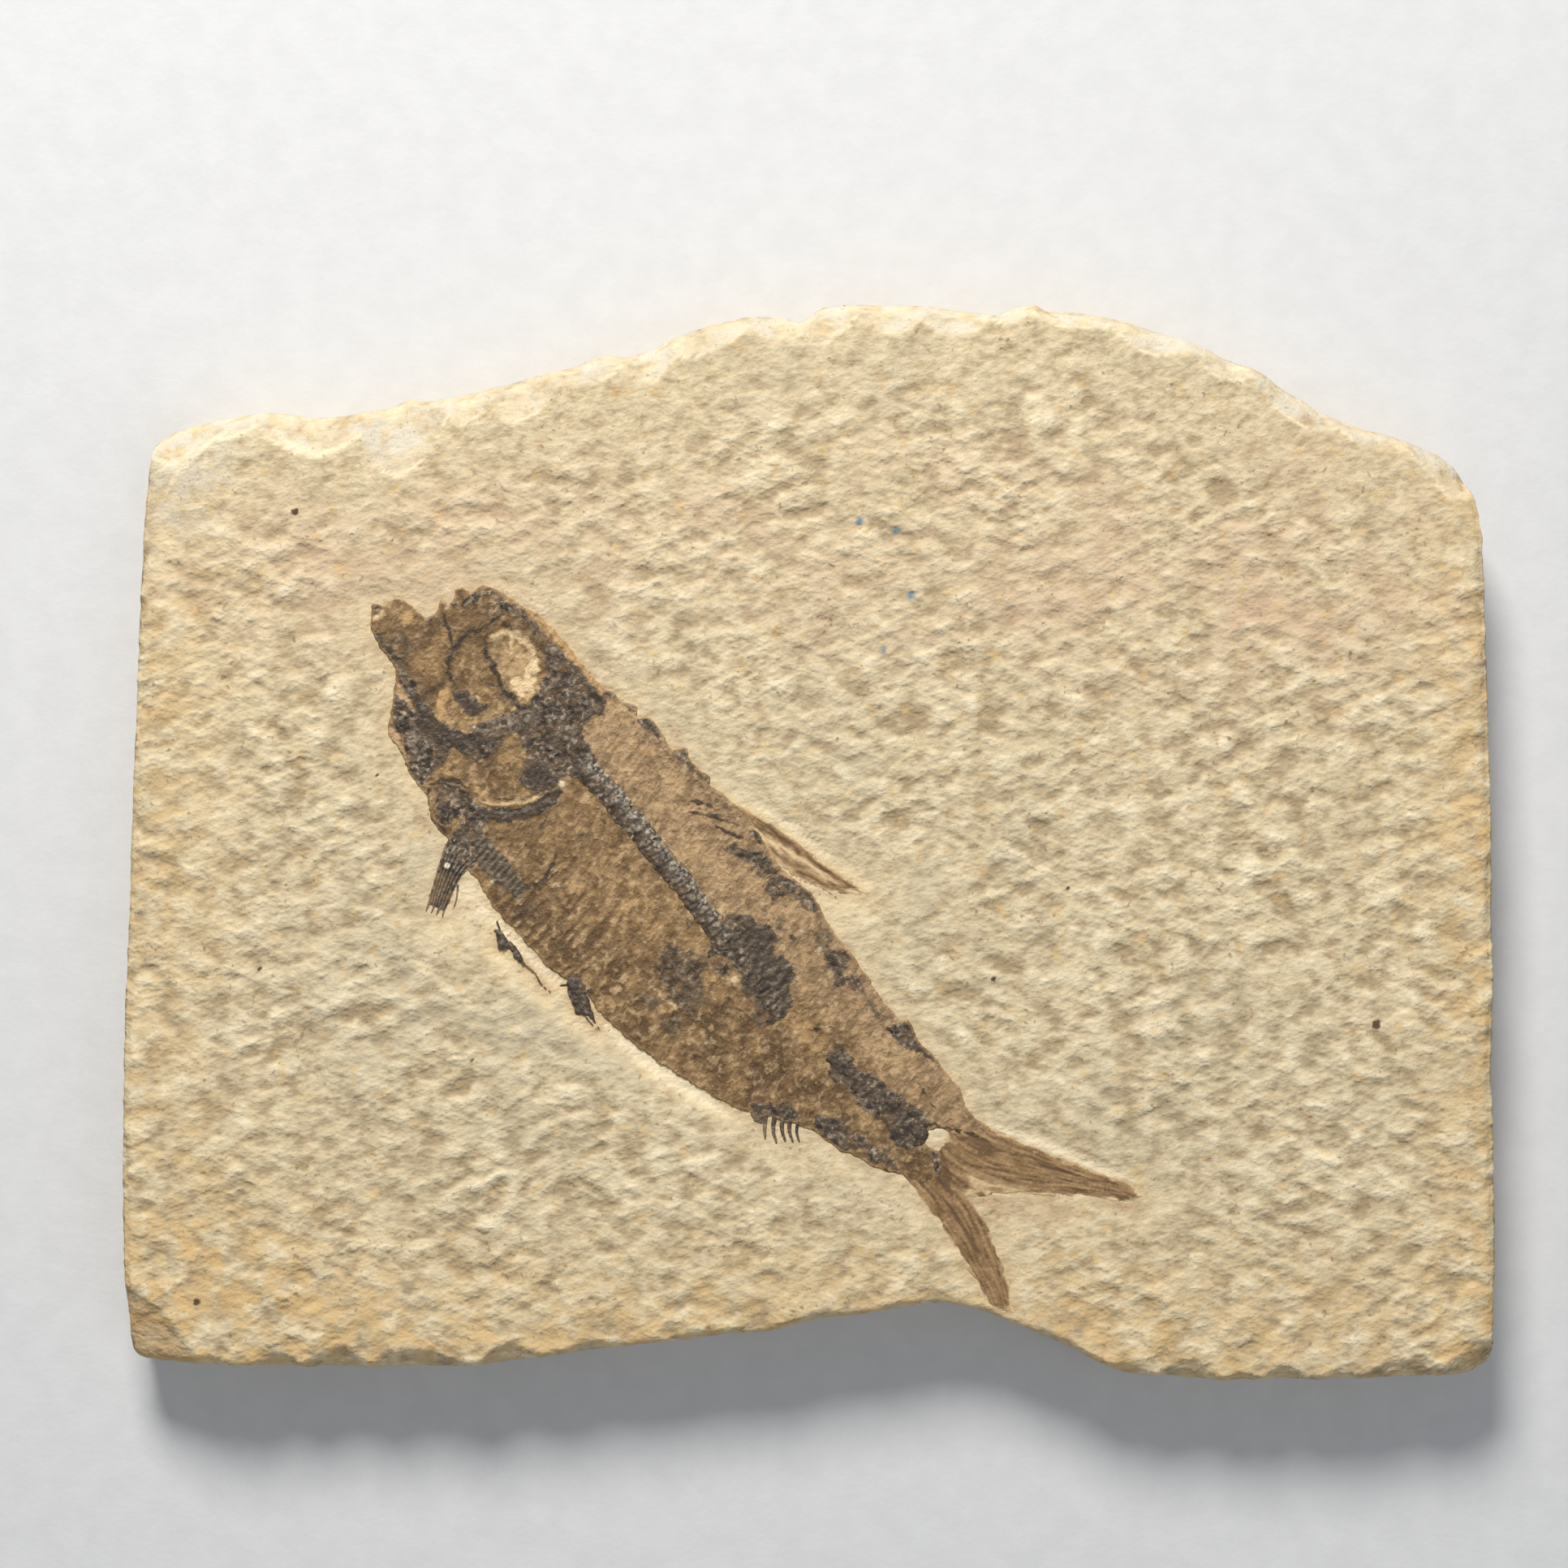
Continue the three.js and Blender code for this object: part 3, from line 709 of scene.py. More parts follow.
def slabWall(rim, inward, walk):
    # rows of points down the broken walls to the worn lower edge
    s, rows = stoneSlab, []
    for share in np.linspace(0, 1, s["wallRows"])[1:]:
        height = rim[:, 2] * (1 - share) + s["baseRound"] * share
        begun = ramp(share, 0, 0.12)
        ledges = np.clip(lumps(walk, height * 5.5 + 40, 3.2, 82, 2, 1.8), -0.4, 0.8)
        inset = begun * (0.32 + s["wallLedges"] * ledges) + 0.12 * lumps(walk, height * 2 + 9, 0.9, 84, 2)
        rows.append(np.column_stack([rim[:, :2] + inward * np.maximum(inset, 0.02)[:, None], height]))
    wander = 0.25 * lumps(walk, walk * 0 + 5, 4, 85, 2)
    for height, inset in ((0.25, s["baseInset"] * 0.55 + wander * 0.5), (0, s["baseInset"] + wander)):
        rows.append(np.column_stack([rim[:, :2] + inward * inset[:, None], np.full(len(rim), height)]))
    return rows


def slabBack(grid, firstIndex):
    # the back: a coarser grid, with faint saw marks
    skip = stoneSlab["backSkip"]
    coarse = grid[::skip, ::skip]
    back = coarse.reshape(-1, 2) * (1 - stoneSlab["backShrink"])
    index = np.arange(len(back)).reshape(coarse.shape[:2]) + firstIndex
    sawn = 0.015 * (1 + np.clip(lumps(back[:, 0], back[:, 1], 6, 86, 2, 3, 10), -1, 1))
    return np.column_stack([back, sawn]), index


def slabMasks(masks, ring, wall, walk, back):
    # the walls and the back are coloured by how far round, and how high, they are: bedding runs level
    rows = len(wall) // len(ring)
    around, high = np.tile(walk, rows), wall[:, 2]
    fading = ramp(high, 3, 8.4) * ramp(lumps(around, high * 1.6, 2.2, 90, 2, 1.8), -0.2, 0.3)
    parts = {key: [values, np.tile(values[ring], rows) * fading, np.zeros(len(back))]
             for key, values in masks.items()}
    # on the walls and the back, the relief that the limestone paints as highlight and shade is noise
    parts["relief"][1] = 0.52 + 0.34 * lumps(around, high * 2.2, 1.5, 88, 2, 2.4)
    parts["gold"][1] = np.clip(0.3 + 0.6 * lumps(around, high * 3, 7, 89, 2, 2), 0, 1)
    parts["line"][1] = 0.7 * ramp(np.abs(lumps(around, high * 3.4, 5, 92, 2, 4)), 0.07, 0.01)
    parts["relief"][2] = 0.5 + 0.3 * lumps(back[:, 0], back[:, 1], 1.2, 88, 2)
    parts["gold"][2] = np.clip(0.35 + 0.5 * lumps(back[:, 0], back[:, 1], 9, 89, 2), 0, 1)
    return {key: np.concatenate(values) for key, values in parts.items()}


def slabUvs(verts, quads, rows, count, backFaces, joins):
    # the face fills most of the bake map, then the wall as a strip, then the back
    flat = (verts[:, :2] - [-65.5, -51.5]) / 131.0
    strip = np.linspace(0, 1, count + 1)
    u0, u1 = strip[:-1] * 0.98 + 0.01, strip[1:] * 0.98 + 0.01
    wallUvs = []
    for k in range(rows):
        top, bottom = 0.98 - 0.05 * k / rows, 0.98 - 0.05 * (k + 1) / rows
        heights = np.tile([top, top, bottom, bottom], (count, 1))
        wallUvs.append(np.stack([np.stack([u1, u0, u0, u1], -1), heights], -1))
    backUv = flat * 0.14 + [0.01, 0.8]
    joinUvs = np.array([backUv[i] for join in joins for i in join])
    return np.vstack([(flat[quads] * 0.98 + 0.01).reshape(-1, 2), np.vstack(wallUvs).reshape(-1, 2),
                      backUv[backFaces].reshape(-1, 2), joinUvs])


def slabMesh(material):
    grid, index, ring, inward, walk = slabGrid()
    flat = grid.reshape(-1, 2)
    z, masks = stoneSurface(flat[:, 0], flat[:, 1])
    face, count = np.column_stack([flat, z]), len(ring)
    print("stone face: heights from", round(float(z.min()), 2), "to", round(float(z.max()), 2), "mm")
    rows = slabWall(face[ring], inward, walk)
    wall = np.vstack(rows)
    levels = [ring] + [len(face) + k * count + np.arange(count) for k in range(len(rows))]
    wallFaces = np.vstack([np.stack([np.roll(a, -1), a, b, np.roll(b, -1)], -1)
                           for a, b in zip(levels, levels[1:])])
    back, backIndex = slabBack(grid, len(face) + len(wall))
    backFaces = gridFaces(backIndex)[..., [0, 3, 2, 1]].reshape(-1, 4)
    # the wall's lowest row is joined to the back some points at a time
    backRing, skip, joins = gridRing(backIndex), stoneSlab["backSkip"], []
    for j in range(len(backRing)):
        outer = [int(levels[-1][(skip * j + k) % count]) for k in range(skip, -1, -1)]
        joins.append([int(backRing[j]), int(backRing[(j + 1) % len(backRing)])] + outer)
    verts = np.vstack([face, wall, back])
    quads = gridFaces(index).reshape(-1, 4)
    faces = quads.tolist() + wallFaces.tolist() + backFaces.tolist() + joins
    uvs = slabUvs(verts, quads, len(rows), count, backFaces, joins)
    masks = slabMasks(masks, ring, wall, walk, back)
    return newPiece("stoneSlab", verts, faces, masks, uvs, material, "limestone", "stone_slab")


# the fish's film of skin, scales and skull, in the fish's axes

fishBody = {
    "low": (-5.4, -16.6), "high": (73.2, 9.6), "step": 0.165, "bottom": 8.93,
    "raggedness": 0.22, "rimThickness": 0.2, "drape": 0.05,
    "boneRise": 0.05, "grainRise": 0.07, "lineRise": 0.03, "eyeSink": 0.08, "ribRise": -0.03, "barRise": 0.08,
    "gillLip": 0.1, "gillSink": 0.1, "domeRise": 0.09,
    "ribPitch": 1.1, "musclePitch": 1.05, "barPitch": 0.58, "gillPitch": 0.85, "spinePitch": 1.05,
    "outline": [
        (2.1, 5.5), (3.2, 5.95), (4, 6.2), (6, 6.7), (8, 7.1), (11, 7.15), (13, 7), (15, 6.75),
        (16.5, 6.75), (17.3, 7), (17.7, 7.35), (18.8, 7.1), (19.5, 7.5), (20.3, 7.7), (21, 7.2),
        (21.9, 8), (23.6, 7.8), (25, 7.4), (26, 8.1), (26.5, 8.5), (27, 8), (28.5, 7.9), (29.9, 8.1),
        (30.4, 7.7), (32, 7.9), (34, 8.2), (36, 8.1), (38, 7.5), (40, 7.1), (42, 7), (44, 7.4), (46, 7.2),
        (47, 6.7), (49, 6.4), (51, 6.2), (53, 5.9), (54, 5.7), (56, 5.3), (58, 5.1), (59, 5.2),
        (59.5, 5.7), (60.5, 5.3), (62, 5), (63.5, 5.1), (65, 4.8), (67.5, 4.7), (69, 4), (70, 3.8),
        (71.5, 4), (72.4, 4.1), (72.4, 3.2), (71.5, 2), (70.6, 1.2), (69.7, 1.1), (68.9, 0.6),
        (68.2, -0.6), (68.5, -1.25), (69.6, -1.3), (70.3, -1), (71.4, -1.5), (72.2, -2.6), (72.2, -4.6),
        (70.4, -4.9), (69.5, -5), (68.5, -5.7), (67, -6.4), (65, -7), (64, -7.6), (62, -7.9), (61, -8),
        (60, -8.5), (59.2, -8.9), (58.2, -9.6), (57, -10), (56.3, -11.3), (55.2, -11), (54.4, -11.9),
        (52, -12.6), (50, -13.1), (48, -13.7), (45, -14.3), (42, -14.7), (40, -14.8), (38, -14.8),
        (36, -14.6), (33.5, -15.2), (32, -15.4), (29, -15.3), (28, -15.2), (26, -15.3), (24, -15.1),
        (22.5, -14.7), (21.5, -14.4), (20.4, -14.5), (18.4, -14.2), (16.9, -13.8), (15.5, -13.8),
        (14.3, -13.6), (13.4, -13.1), (12.6, -12.4), (11, -12.3), (10, -12.1), (9, -11.8), (8, -11.3),
        (7, -11.1), (6, -11), (5.2, -10.4), (4.7, -9.6), (4.2, -8.9), (3.6, -8.2), (3, -7.6), (2.6, -7),
        (2, -6.4), (1, -6), (0, -5.8), (-1.2, -5.7), (-2.2, -5.4), (-2.9, -4.9), (-3.6, -4.1),
        (-4.1, -3.5), (-3.4, -2.9), (-3.2, -2.4), (-3, -1.7), (-2.3, -1.1), (-1, -0.85), (0.3, -0.8),
        (0.6, -0.3), (0.7, 0.4), (0.3, 1), (0.2, 1.5), (0.9, 1.7), (0.9, 2.3), (0.4, 3), (0.6, 3.6),
        (1.4, 4), (1.8, 4.9),
    ],
    # dark bone lying on the film: how thick it lies, and its outline
    "gillBars": (0.72, [(10.6, -4.6), (11.2, -3.2), (12, -2), (12.6, -0.6), (13.4, 0.2), (14.2, -0.6),
        (14.3, -2), (13.4, -3.2), (12.6, -4), (11.6, -5.2), (10.8, -5.2)]),
    "finBase": (0.98, [(18, -11), (20, -11.1), (22, -11.2), (24, -11.5), (25.4, -12), (25.9, -12.5),
        (25.2, -13.1), (23.6, -13.2), (22, -13.4), (20, -13.4)]),
    "midPatch": (1.15, [(39.5, -1.3), (40.4, -0.5), (40.8, 0.8), (41.6, 1.6), (43, 1.7), (44.2, 2.5),
        (45.2, 2.2), (45.5, 0.9), (46.6, 0.6), (47.2, 1.4), (48.9, 1.1), (49.1, -0.5), (50.2, -0.7),
        (50.9, -1.6), (51.1, -3.2), (50.8, -4.2), (50.2, -4.2), (49.7, -3.2), (48.5, -2.8), (47.4, -3.9),
        (46.5, -3.7), (45.8, -2.7), (44.5, -2.6), (43, -2.4), (42.2, -3.9), (41.7, -3.6), (41.4, -2.4),
        (40.5, -2.5)]),
    "bone": [
        (1.1, [(12.1, 6.1), (13.5, 6.3), (15, 6), (16.8, 6.2), (18, 6), (18.4, 5.1), (18, 4), (18.1, 3),
         (18.6, 2.3), (19.3, 2), (20.5, 1.8), (21.4, 1.3), (21.4, -0.8), (20.9, -1.2), (20.2, -2.2),
         (20.1, -3.6), (19.6, -4.8), (18.4, -5.3), (17.3, -4.7), (16.7, -3.5), (16.2, -2.6), (15.2, -2.7),
         (14.2, -1.8), (13.4, -0.8), (12.6, -0.3), (13.1, 0.6), (13, 1.6), (12.3, 2.8), (12.1, 3.9),
         (11.4, 4.5), (10.6, 5.2), (11, 5.9)]),
        (0.62, [(3.8, 5.6), (5, 6.4), (7, 6.5), (9, 6.3), (11, 6.2), (12.4, 6.3), (12.4, 5.3), (11, 5.1),
         (9.6, 5), (8, 5.3), (6, 5.3), (4.6, 5.2)]),
        (0.4, [(2, 5.2), (2.6, 5.7), (4, 5.9), (5.4, 5.4), (5.2, 4.2), (4.6, 3.4), (3.2, 3.2), (2.2, 3.4),
         (1.9, 4.2)]),
        (1.0, [(1.5, 2.9), (1.7, 3.9), (2.2, 4.3), (2.5, 3.8), (2.2, 3.2), (1.9, 2.6)]),
        (1.0, [(0.8, 2.3), (1.5, 2.4), (1.4, 1.9), (0.8, 1.8)]),
        (1.0, [(0.1, 1.5), (0.9, 1.25), (0.7, 1), (0.2, 1.1)]),
        (0.9, [(0.4, 3.5), (0.95, 3.5), (0.7, 3)]),
        (1.0, [(0.2, -0.3), (0.6, -0.2), (0.85, -0.6), (0.5, -0.9), (0.2, -0.8)]),
        (1.0, [(-4.15, -3.4), (-3.7, -2.95), (-3.3, -3.05), (-3.55, -3.6), (-3.95, -3.75)]),
        (0.95, [(-2.4, -4.9), (-1.6, -4.95), (-0.9, -5.1), (-0.8, -5.6), (-1.4, -5.65), (-2.2, -5.4)]),
        (0.85, [(-0.6, -5.1), (0.6, -5.1), (2, -5.1), (3, -5.5), (3.3, -6.4), (3, -7), (2.6, -6.9),
         (2.1, -6.3), (1, -5.9), (-0.4, -5.7)]),
        (1.05, [(3.3, -5.8), (4.2, -5.9), (5.2, -6.3), (5.2, -7), (4.4, -7.15), (3.6, -6.9)]),
        (1.1, [(5.3, -6.5), (6.5, -6.5), (8.2, -6.8), (9.5, -6.3), (10.5, -5.9), (11.4, -5.4),
         (12.2, -4.4), (13, -3.2), (13.8, -3.4), (14.1, -5), (13.9, -6.3), (12.8, -6.9), (11, -7.1),
         (10.6, -7.8), (11.6, -8.5), (11.2, -9.4), (11.3, -10.6), (11.4, -12), (10.4, -12.1), (9, -11.5),
         (8.2, -10.8), (7, -10.1), (5.9, -10.2), (5, -9.6), (4, -8.5), (3.7, -7.9), (4.8, -7.7),
         (5.9, -7.7), (6.1, -7.2)]),
        (0.9, [(7.2, -3.6), (8, -2.95), (9.5, -2.75), (10.4, -2.3), (10.6, -3.3), (9.8, -4.2),
         (8.6, -4.1), (7.6, -4)]),
        (0.62, [(8.9, 0.5), (10, 0.1), (12, 0.3), (12.8, 0.4), (12.6, -0.6), (11.4, -0.7), (10, -0.6),
         (9.2, -0.1)]),
        (1.3, [(15.6, -10.4), (16.8, -9.75), (18.2, -8.5), (19.35, -7), (20.25, -5.2), (20.6, -3.5),
         (20.6, -2.9), (21.1, -3), (21.35, -4), (21.15, -5.5), (20.6, -7.1), (19.7, -8.4), (18.6, -9.2),
         (17.4, -10.2), (16.4, -10.9)]),
        (0.85, [(15.4, -9.9), (16.5, -9.4), (17.6, -9.3), (18.4, -10.1), (18.4, -11), (20, -11.3),
         (20.1, -13.4), (20.4, -14.4), (19, -15), (17.2, -14.8), (17.1, -13.4), (16.6, -12.4),
         (16.3, -11.4), (15.2, -10.8)]),
        (0.8, [(42.8, -3), (44.2, -2.9), (44.3, -3.9), (43.4, -4.2), (42.9, -3.6)]),
        (1.1, [(56.6, -1.7), (57.2, -0.7), (58.5, -0.7), (59.2, -1), (60, -0.8), (61.5, -0.3), (63, -0.1),
         (64.5, 0.3), (66, 0.5), (67.5, 0.4), (68.3, 0.1), (68.3, -1.4), (68.4, -2.4), (67.6, -3.4),
         (66.2, -3.2), (65, -2.8), (63.8, -3.1), (62, -3.4), (60.5, -3), (59.6, -2.7), (59.2, -3.5),
         (58.1, -3.4), (57.8, -2.7), (57, -2.1)]),
        (0.7, [(35.6, 4.3), (36, 5.4), (37.4, 6.2), (38.3, 6.7), (39.6, 6.9), (41.4, 6.7), (43, 7.2),
         (44.6, 7.5), (46, 7.2), (46.4, 6.3), (45, 5.9), (43.4, 6), (42.6, 5), (42.9, 3.9), (41.6, 4.4),
         (40.6, 5), (39.2, 5), (38.2, 5.1), (37.2, 4.7), (36.3, 4.4)]),
        (0.8, [(35.9, 7.2), (36.6, 7.8), (38.2, 8), (38, 7.4), (37, 7.1)]),
        (0.7, [(45.8, 3.3), (46.6, 4), (47.1, 3.6), (46.7, 2.8), (46, 2.9)]),
        (0.82, [(49.2, 4.3), (49.8, 5.2), (50.6, 6), (51.4, 5.8), (52, 4.8), (53.4, 4.9), (54.4, 5),
         (54.4, 3.9), (53.2, 3.5), (52.3, 2.9), (51.6, 3.6), (50.8, 3.3), (50.3, 3.9)]),
        (0.95, [(58.5, 3.7), (59.1, 4.8), (59.5, 5.6), (60.5, 5.5), (61.6, 5.2), (63.1, 5.2), (64.6, 5),
         (63.4, 4.6), (62.1, 4), (61.2, 3.4), (60.4, 3.5), (59.4, 3.6)]),
        (1.0, [(55, -10.4), (55.8, -9.4), (56.4, -8.8), (57, -8.4), (57.6, -7.9), (58.6, -7.9),
         (59, -8.7), (58.7, -9.4), (57.8, -9.5), (57, -10), (56.6, -10.9), (56.2, -11.3), (55.4, -10.9)]),
        (0.92, [(59.7, -7.2), (60, -6.6), (61, -6.2), (62, -5.6), (63.2, -5.5), (64.5, -5.1),
         (65.8, -5.2), (66.5, -4.7), (68.5, -4.6), (69.4, -5.1), (67.5, -5.6), (66.8, -6.3), (66, -6.1),
         (65.6, -5.6), (64.8, -6.3), (64.6, -7.3), (63.4, -7.5), (62, -7.8), (60.6, -7.8)]),
        (1.0, [(69.6, -1.2), (70.3, -0.8), (71.7, -1.1), (72.4, -1.6), (72.6, -2.6), (71.7, -2.4),
         (70.6, -1.9)]),
        (0.9, [(21.1, 7.2), (21.9, 8), (23.7, 7.7), (23.9, 7.2), (22.6, 7.1), (21.6, 6.8)]),
        (0.85, [(17.3, 6.8), (17.7, 7.35), (18.1, 7.1), (18, 6.5), (17.2, 6.3)]),
        (0.8, [(19.2, 7.1), (19.8, 7.7), (20.6, 7.5), (20.3, 7.1)]),
        (0.8, [(25.9, 7.4), (26.3, 8.3), (27.2, 8), (28.4, 8), (29.8, 8.1), (30, 7.5), (28, 7.3),
         (26.6, 7.3)]),
        (0.9, [(34.3, -14.3), (34.8, -13.3), (35.6, -14), (36.6, -14.2), (37.4, -14.8), (35, -14.9)]),
        (0.62, [(12.3, -11.4), (12.6, -10.3), (13.8, -9.6), (15.4, -9.4), (16.2, -10.4), (16.2, -12),
         (15.4, -13.2), (14, -13.2), (13.6, -12.2)]),
    ],
    # thin smears of bone: how strong, and their outline
    "smears": [
        (0.9, [(38.4, -5.6), (40, -4.9), (41.4, -4.4), (42.6, -4), (42.9, -5.8), (43.6, -6.2),
         (44.8, -6.6), (45.1, -8.8), (43, -9.1), (41, -8.9), (39.6, -8.5), (38.8, -7)]),
        (0.85, [(40.2, -11.4), (40.7, -10.2), (42.1, -10.3), (42.1, -11.5)]),
        (0.9, [(42.9, -11), (43.6, -9.7), (45.1, -10), (45.4, -11.8), (43.6, -11.7)]),
        (0.75, [(25.2, -4.9), (25.4, -3.4), (26, -3.2), (26, -4.6), (25.6, -5.1)]),
        (0.7, [(25.2, -2.2), (25.7, -1), (26.6, -0.9), (26.2, -2.2)]),
        (0.5, [(21, 6.5), (22, 7.2), (26, 7), (30, 7.4), (34.5, 7.9), (34.5, 7), (30, 6.6), (25, 6.5),
         (22, 6.2)]),
        (0.45, [(-1.2, -2.9), (0.5, -2.9), (1.7, -3.4), (1.7, -5.1), (0, -5.1), (-1.3, -4.6)]),
        (0.4, [(1, 0), (1.8, 0), (1.9, -5), (1.2, -5)]),
        (0.5, [(12.6, -13), (14.6, -11), (15.4, -13), (14.4, -13.6)]),
        (0.5, [(26, -13), (27.6, -12.6), (27.6, -14.8), (26, -14.6)]),
        (0.45, [(52, -3.2), (53.4, -3.4), (53.4, -4.6), (52.2, -4.4)]),
        (0.6, [(47, -2.2), (49, -4.6), (50.2, -5.6), (50.6, -4), (49.4, -2.6)]),
        (0.4, [(30, -3.4), (31, -3.4), (30.8, -4.3), (30, -4.2)]),
        (0.42, [(64, -3), (68, -3.4), (70, -3.4), (70, -4.6), (67, -4.8), (64.5, -4.6)]),
        (0.4, [(4.8, -2.2), (6.6, -2.6), (8, -3.4), (7, -4), (5.6, -3.4)]),
        (0.35, [(49, 5), (54, 5.2), (58.4, 4.8), (58.4, 3.8), (54, 3.6), (49, 3.6)]),
        (0.8, [(47, 5.5), (48.6, 5.9), (49.8, 5), (49, 4.2), (47.4, 4.4)]),
        (0.75, [(43.5, 2.9), (44.6, 3.3), (45.6, 3.4), (45, 2.7)]),
        (0.45, [(45, 7), (47, 6.6), (48.6, 6), (48, 5.6), (46, 6)]),
        (0.5, [(54, 4.4), (56, 4.6), (58.4, 4.4), (57, 3.6), (55, 3.7)]),
        (0.5, [(37.6, -2.6), (38.6, -2.4), (39, -3.4), (38.3, -3.5)]),
        (0.4, [(19.9, -2.4), (20.4, -2.9), (20.4, -4), (19.8, -4)]),
        (0.45, [(66, 4.6), (68, 4.4), (70, 3.7), (71.4, 3.9), (71.2, 3.3), (69, 3.3), (67, 4)]),
    ],
    # dark lines: points, width and strength
    "lines": [
        ([(1.1, 0.75), (2.3, 0.2), (3.4, -0.4), (4.2, -0.95)], 0.42, 0.85),
        ([(4.1, 2.2), (4.05, 0.6), (4.4, -1)], 0.3, 0.8),
        ([(5.1, 5), (4.8, 2.6), (4.1, 0.8), (4.4, -1), (5, -2.4), (6, -3), (7.2, -3.3)], 0.42, 0.8),
        ([(5.2, 2.3), (6, 1.5), (7, 1), (8, 0.7), (8.9, 0.4), (9.7, 0), (11.2, -0.5)], 0.5, 0.85),
        ([(8.1, -1.2), (9.2, -0.7), (10, -0.2)], 0.24, 0.7),
        ([(5.4, 4.2), (6.3, 4.3), (7.3, 4.9)], 0.24, 0.6),
        ([(0.3, -0.85), (-1, -0.9), (-2.2, -1.15), (-3, -1.75), (-3.2, -2.6)], 0.16, 0.6),
        ([(-3.8, -3.7), (-3.3, -4.5), (-2.7, -4.95)], 0.2, 0.7),
        ([(1.5, -0.6), (1.7, -2.5), (1.8, -4.8)], 0.3, 0.4),
        ([(5.9, -3.3), (5.7, -4.6), (5.4, -5.9)], 0.3, 0.45),
        ([(15.7, -9.5), (17.5, -7.8), (19.2, -5.8), (20, -4)], 0.2, 0.7),
        ([(17.6, -10.1), (18.9, -9.2), (20, -8.2)], 0.3, 0.6),
        ([(12, -10.8), (12.6, -10.1), (13.6, -9.4), (14.7, -9)], 0.42, 0.95),
        ([(12.1, -10.8), (12.2, -11.9), (13.2, -12.9), (14.2, -13.5), (16.8, -13.6)], 0.42, 0.85),
        ([(13.4, -10.9), (13.6, -12.2)], 0.4, 0.7),
        ([(12.1, -11.7), (12.5, -10.7), (13.8, -9.9), (15.2, -9.4)], 0.3, 0.8),
        ([(15.4, -9.5), (15.6, -10.8), (14.8, -11.9), (13.6, -12.9)], 0.34, 0.85),
        ([(14.4, -11), (14.6, -12.2), (15.4, -13.2)], 0.5, 0.8),
        ([(16.4, -13.2), (15.4, -12.4), (15.2, -11.6)], 0.3, 0.7),
        ([(22.4, -7.6), (21.9, -5.4)], 0.24, 0.6),
        ([(26.2, -7.8), (26.2, -9.6), (25.8, -10.8), (24.8, -11.7)], 0.3, 0.7),
        ([(51.7, -2.4), (51.9, -0.7), (52.8, 0.6), (53.8, 1.4)], 0.14, 0.7),
        ([(53.1, -2.5), (54.2, -1.2)], 0.12, 0.6), ([(53.9, 2.1), (54.1, 3.7)], 0.12, 0.5),
        ([(49, 2.4), (50.4, 3)], 0.12, 0.5), ([(46, -4.8), (47.8, -5.6), (50, -5.4)], 0.14, 0.5),
        ([(21.7, -5), (22, -6.4), (22.2, -7.9)], 0.26, 0.7),
        ([(24.9, -6.4), (25.4, -8), (25.8, -9.6), (25.9, -10.8), (25.2, -11.9)], 0.34, 0.75),
        ([(23, -5.6), (23.5, -7.2)], 0.18, 0.4), ([(27.2, -8), (27.4, -9)], 0.22, 0.6),
        ([(41.4, -2.4), (41.9, -3.4), (42.4, -4.8), (43, -6.8)], 0.34, 0.65),
        ([(30, 5.1), (31.2, 5.9), (32.6, 6.6)], 0.42, 0.7),
        ([(30.6, 4.4), (32, 5.2), (33.2, 6.3)], 0.34, 0.65),
        ([(32.6, 5.5), (34, 6.4), (35.4, 7.2)], 0.36, 0.7),
        ([(33.4, 5.3), (35, 5.8), (36.4, 6.5)], 0.44, 0.8),
        ([(36, 4.8), (37.4, 5.8), (38.8, 6.6)], 0.36, 0.6),
        ([(46, -5.1), (47.4, -5.2), (48.6, -5)], 0.2, 0.6),
        ([(36.6, -9), (40, -9.2), (44, -9.1)], 0.16, 0.5), ([(39.9, -0.6), (39.8, -1.4)], 0.2, 0.6),
        ([(51.3, -0.8), (51.9, 0.2), (52.4, 1.2)], 0.18, 0.5), ([(52.8, -1), (53.4, 0)], 0.2, 0.55),
        ([(54.5, -0.8), (55.4, 0.4)], 0.2, 0.5), ([(53.9, -1.3), (54.4, -1.2)], 0.4, 0.7),
        ([(56.2, -0.4), (57, 0.8)], 0.14, 0.4), ([(64.2, 2.2), (66, 1.9), (67.6, 1.7)], 0.24, 0.6),
        ([(68, 0.3), (69.4, 1), (71, 2.1), (72.3, 2.8)], 0.5, 0.9),
        ([(68.6, 0.1), (69.3, 0.8)], 0.3, 0.9), ([(50.6, -12.7), (52, -12.5), (53.6, -12.2)], 0.22, 0.6),
        ([(14.3, -3.6), (14.6, -5.6), (14.2, -7.4)], 0.2, 0.5), ([(2.2, 5.3), (2.7, 5.9)], 0.3, 0.6),
        ([(10, 6.9), (13, 6.8), (16.8, 6.6)], 0.3, 0.35),
        ([(11.5, -10.6), (11.6, -11.6), (11.2, -12.2)], 0.3, 0.7),
        ([(4.6, -9.5), (5.1, -10.4), (5.6, -11.1)], 0.2, 0.6),
    ],
    # the film's own shade, from -1 (dark) to 1 (light): centre, radii and strength
    "shades": [
        ((3, -3), (0.9, 1.8), 0.15), ((-1, -1.9), (1.1, 0.8), 0.6), ((0.2, -4), (1.5, 1), -0.5),
        ((9, -1.5), (1.1, 0.5), 0.7), ((3, 0.6), (3, 3.4), -0.35), ((7, -1), (2.2, 1.8), -0.4),
        ((3, -5), (3, 1), -0.4), ((2.8, 1.6), (0.8, 0.9), 0.3), ((9.4, -5.2), (1.6, 0.8), 0.1),
        ((12, -8.8), (1, 1.8), 0.2), ((16, -7), (1.6, 1.2), -0.3), ((9.2, 2.6), (2.6, 1.9), 0.7),
        ((24, 4), (5, 2.6), 0.3), ((34, 3), (8, 2.2), 0.4), ((28, -3), (6, 2), 0.1),
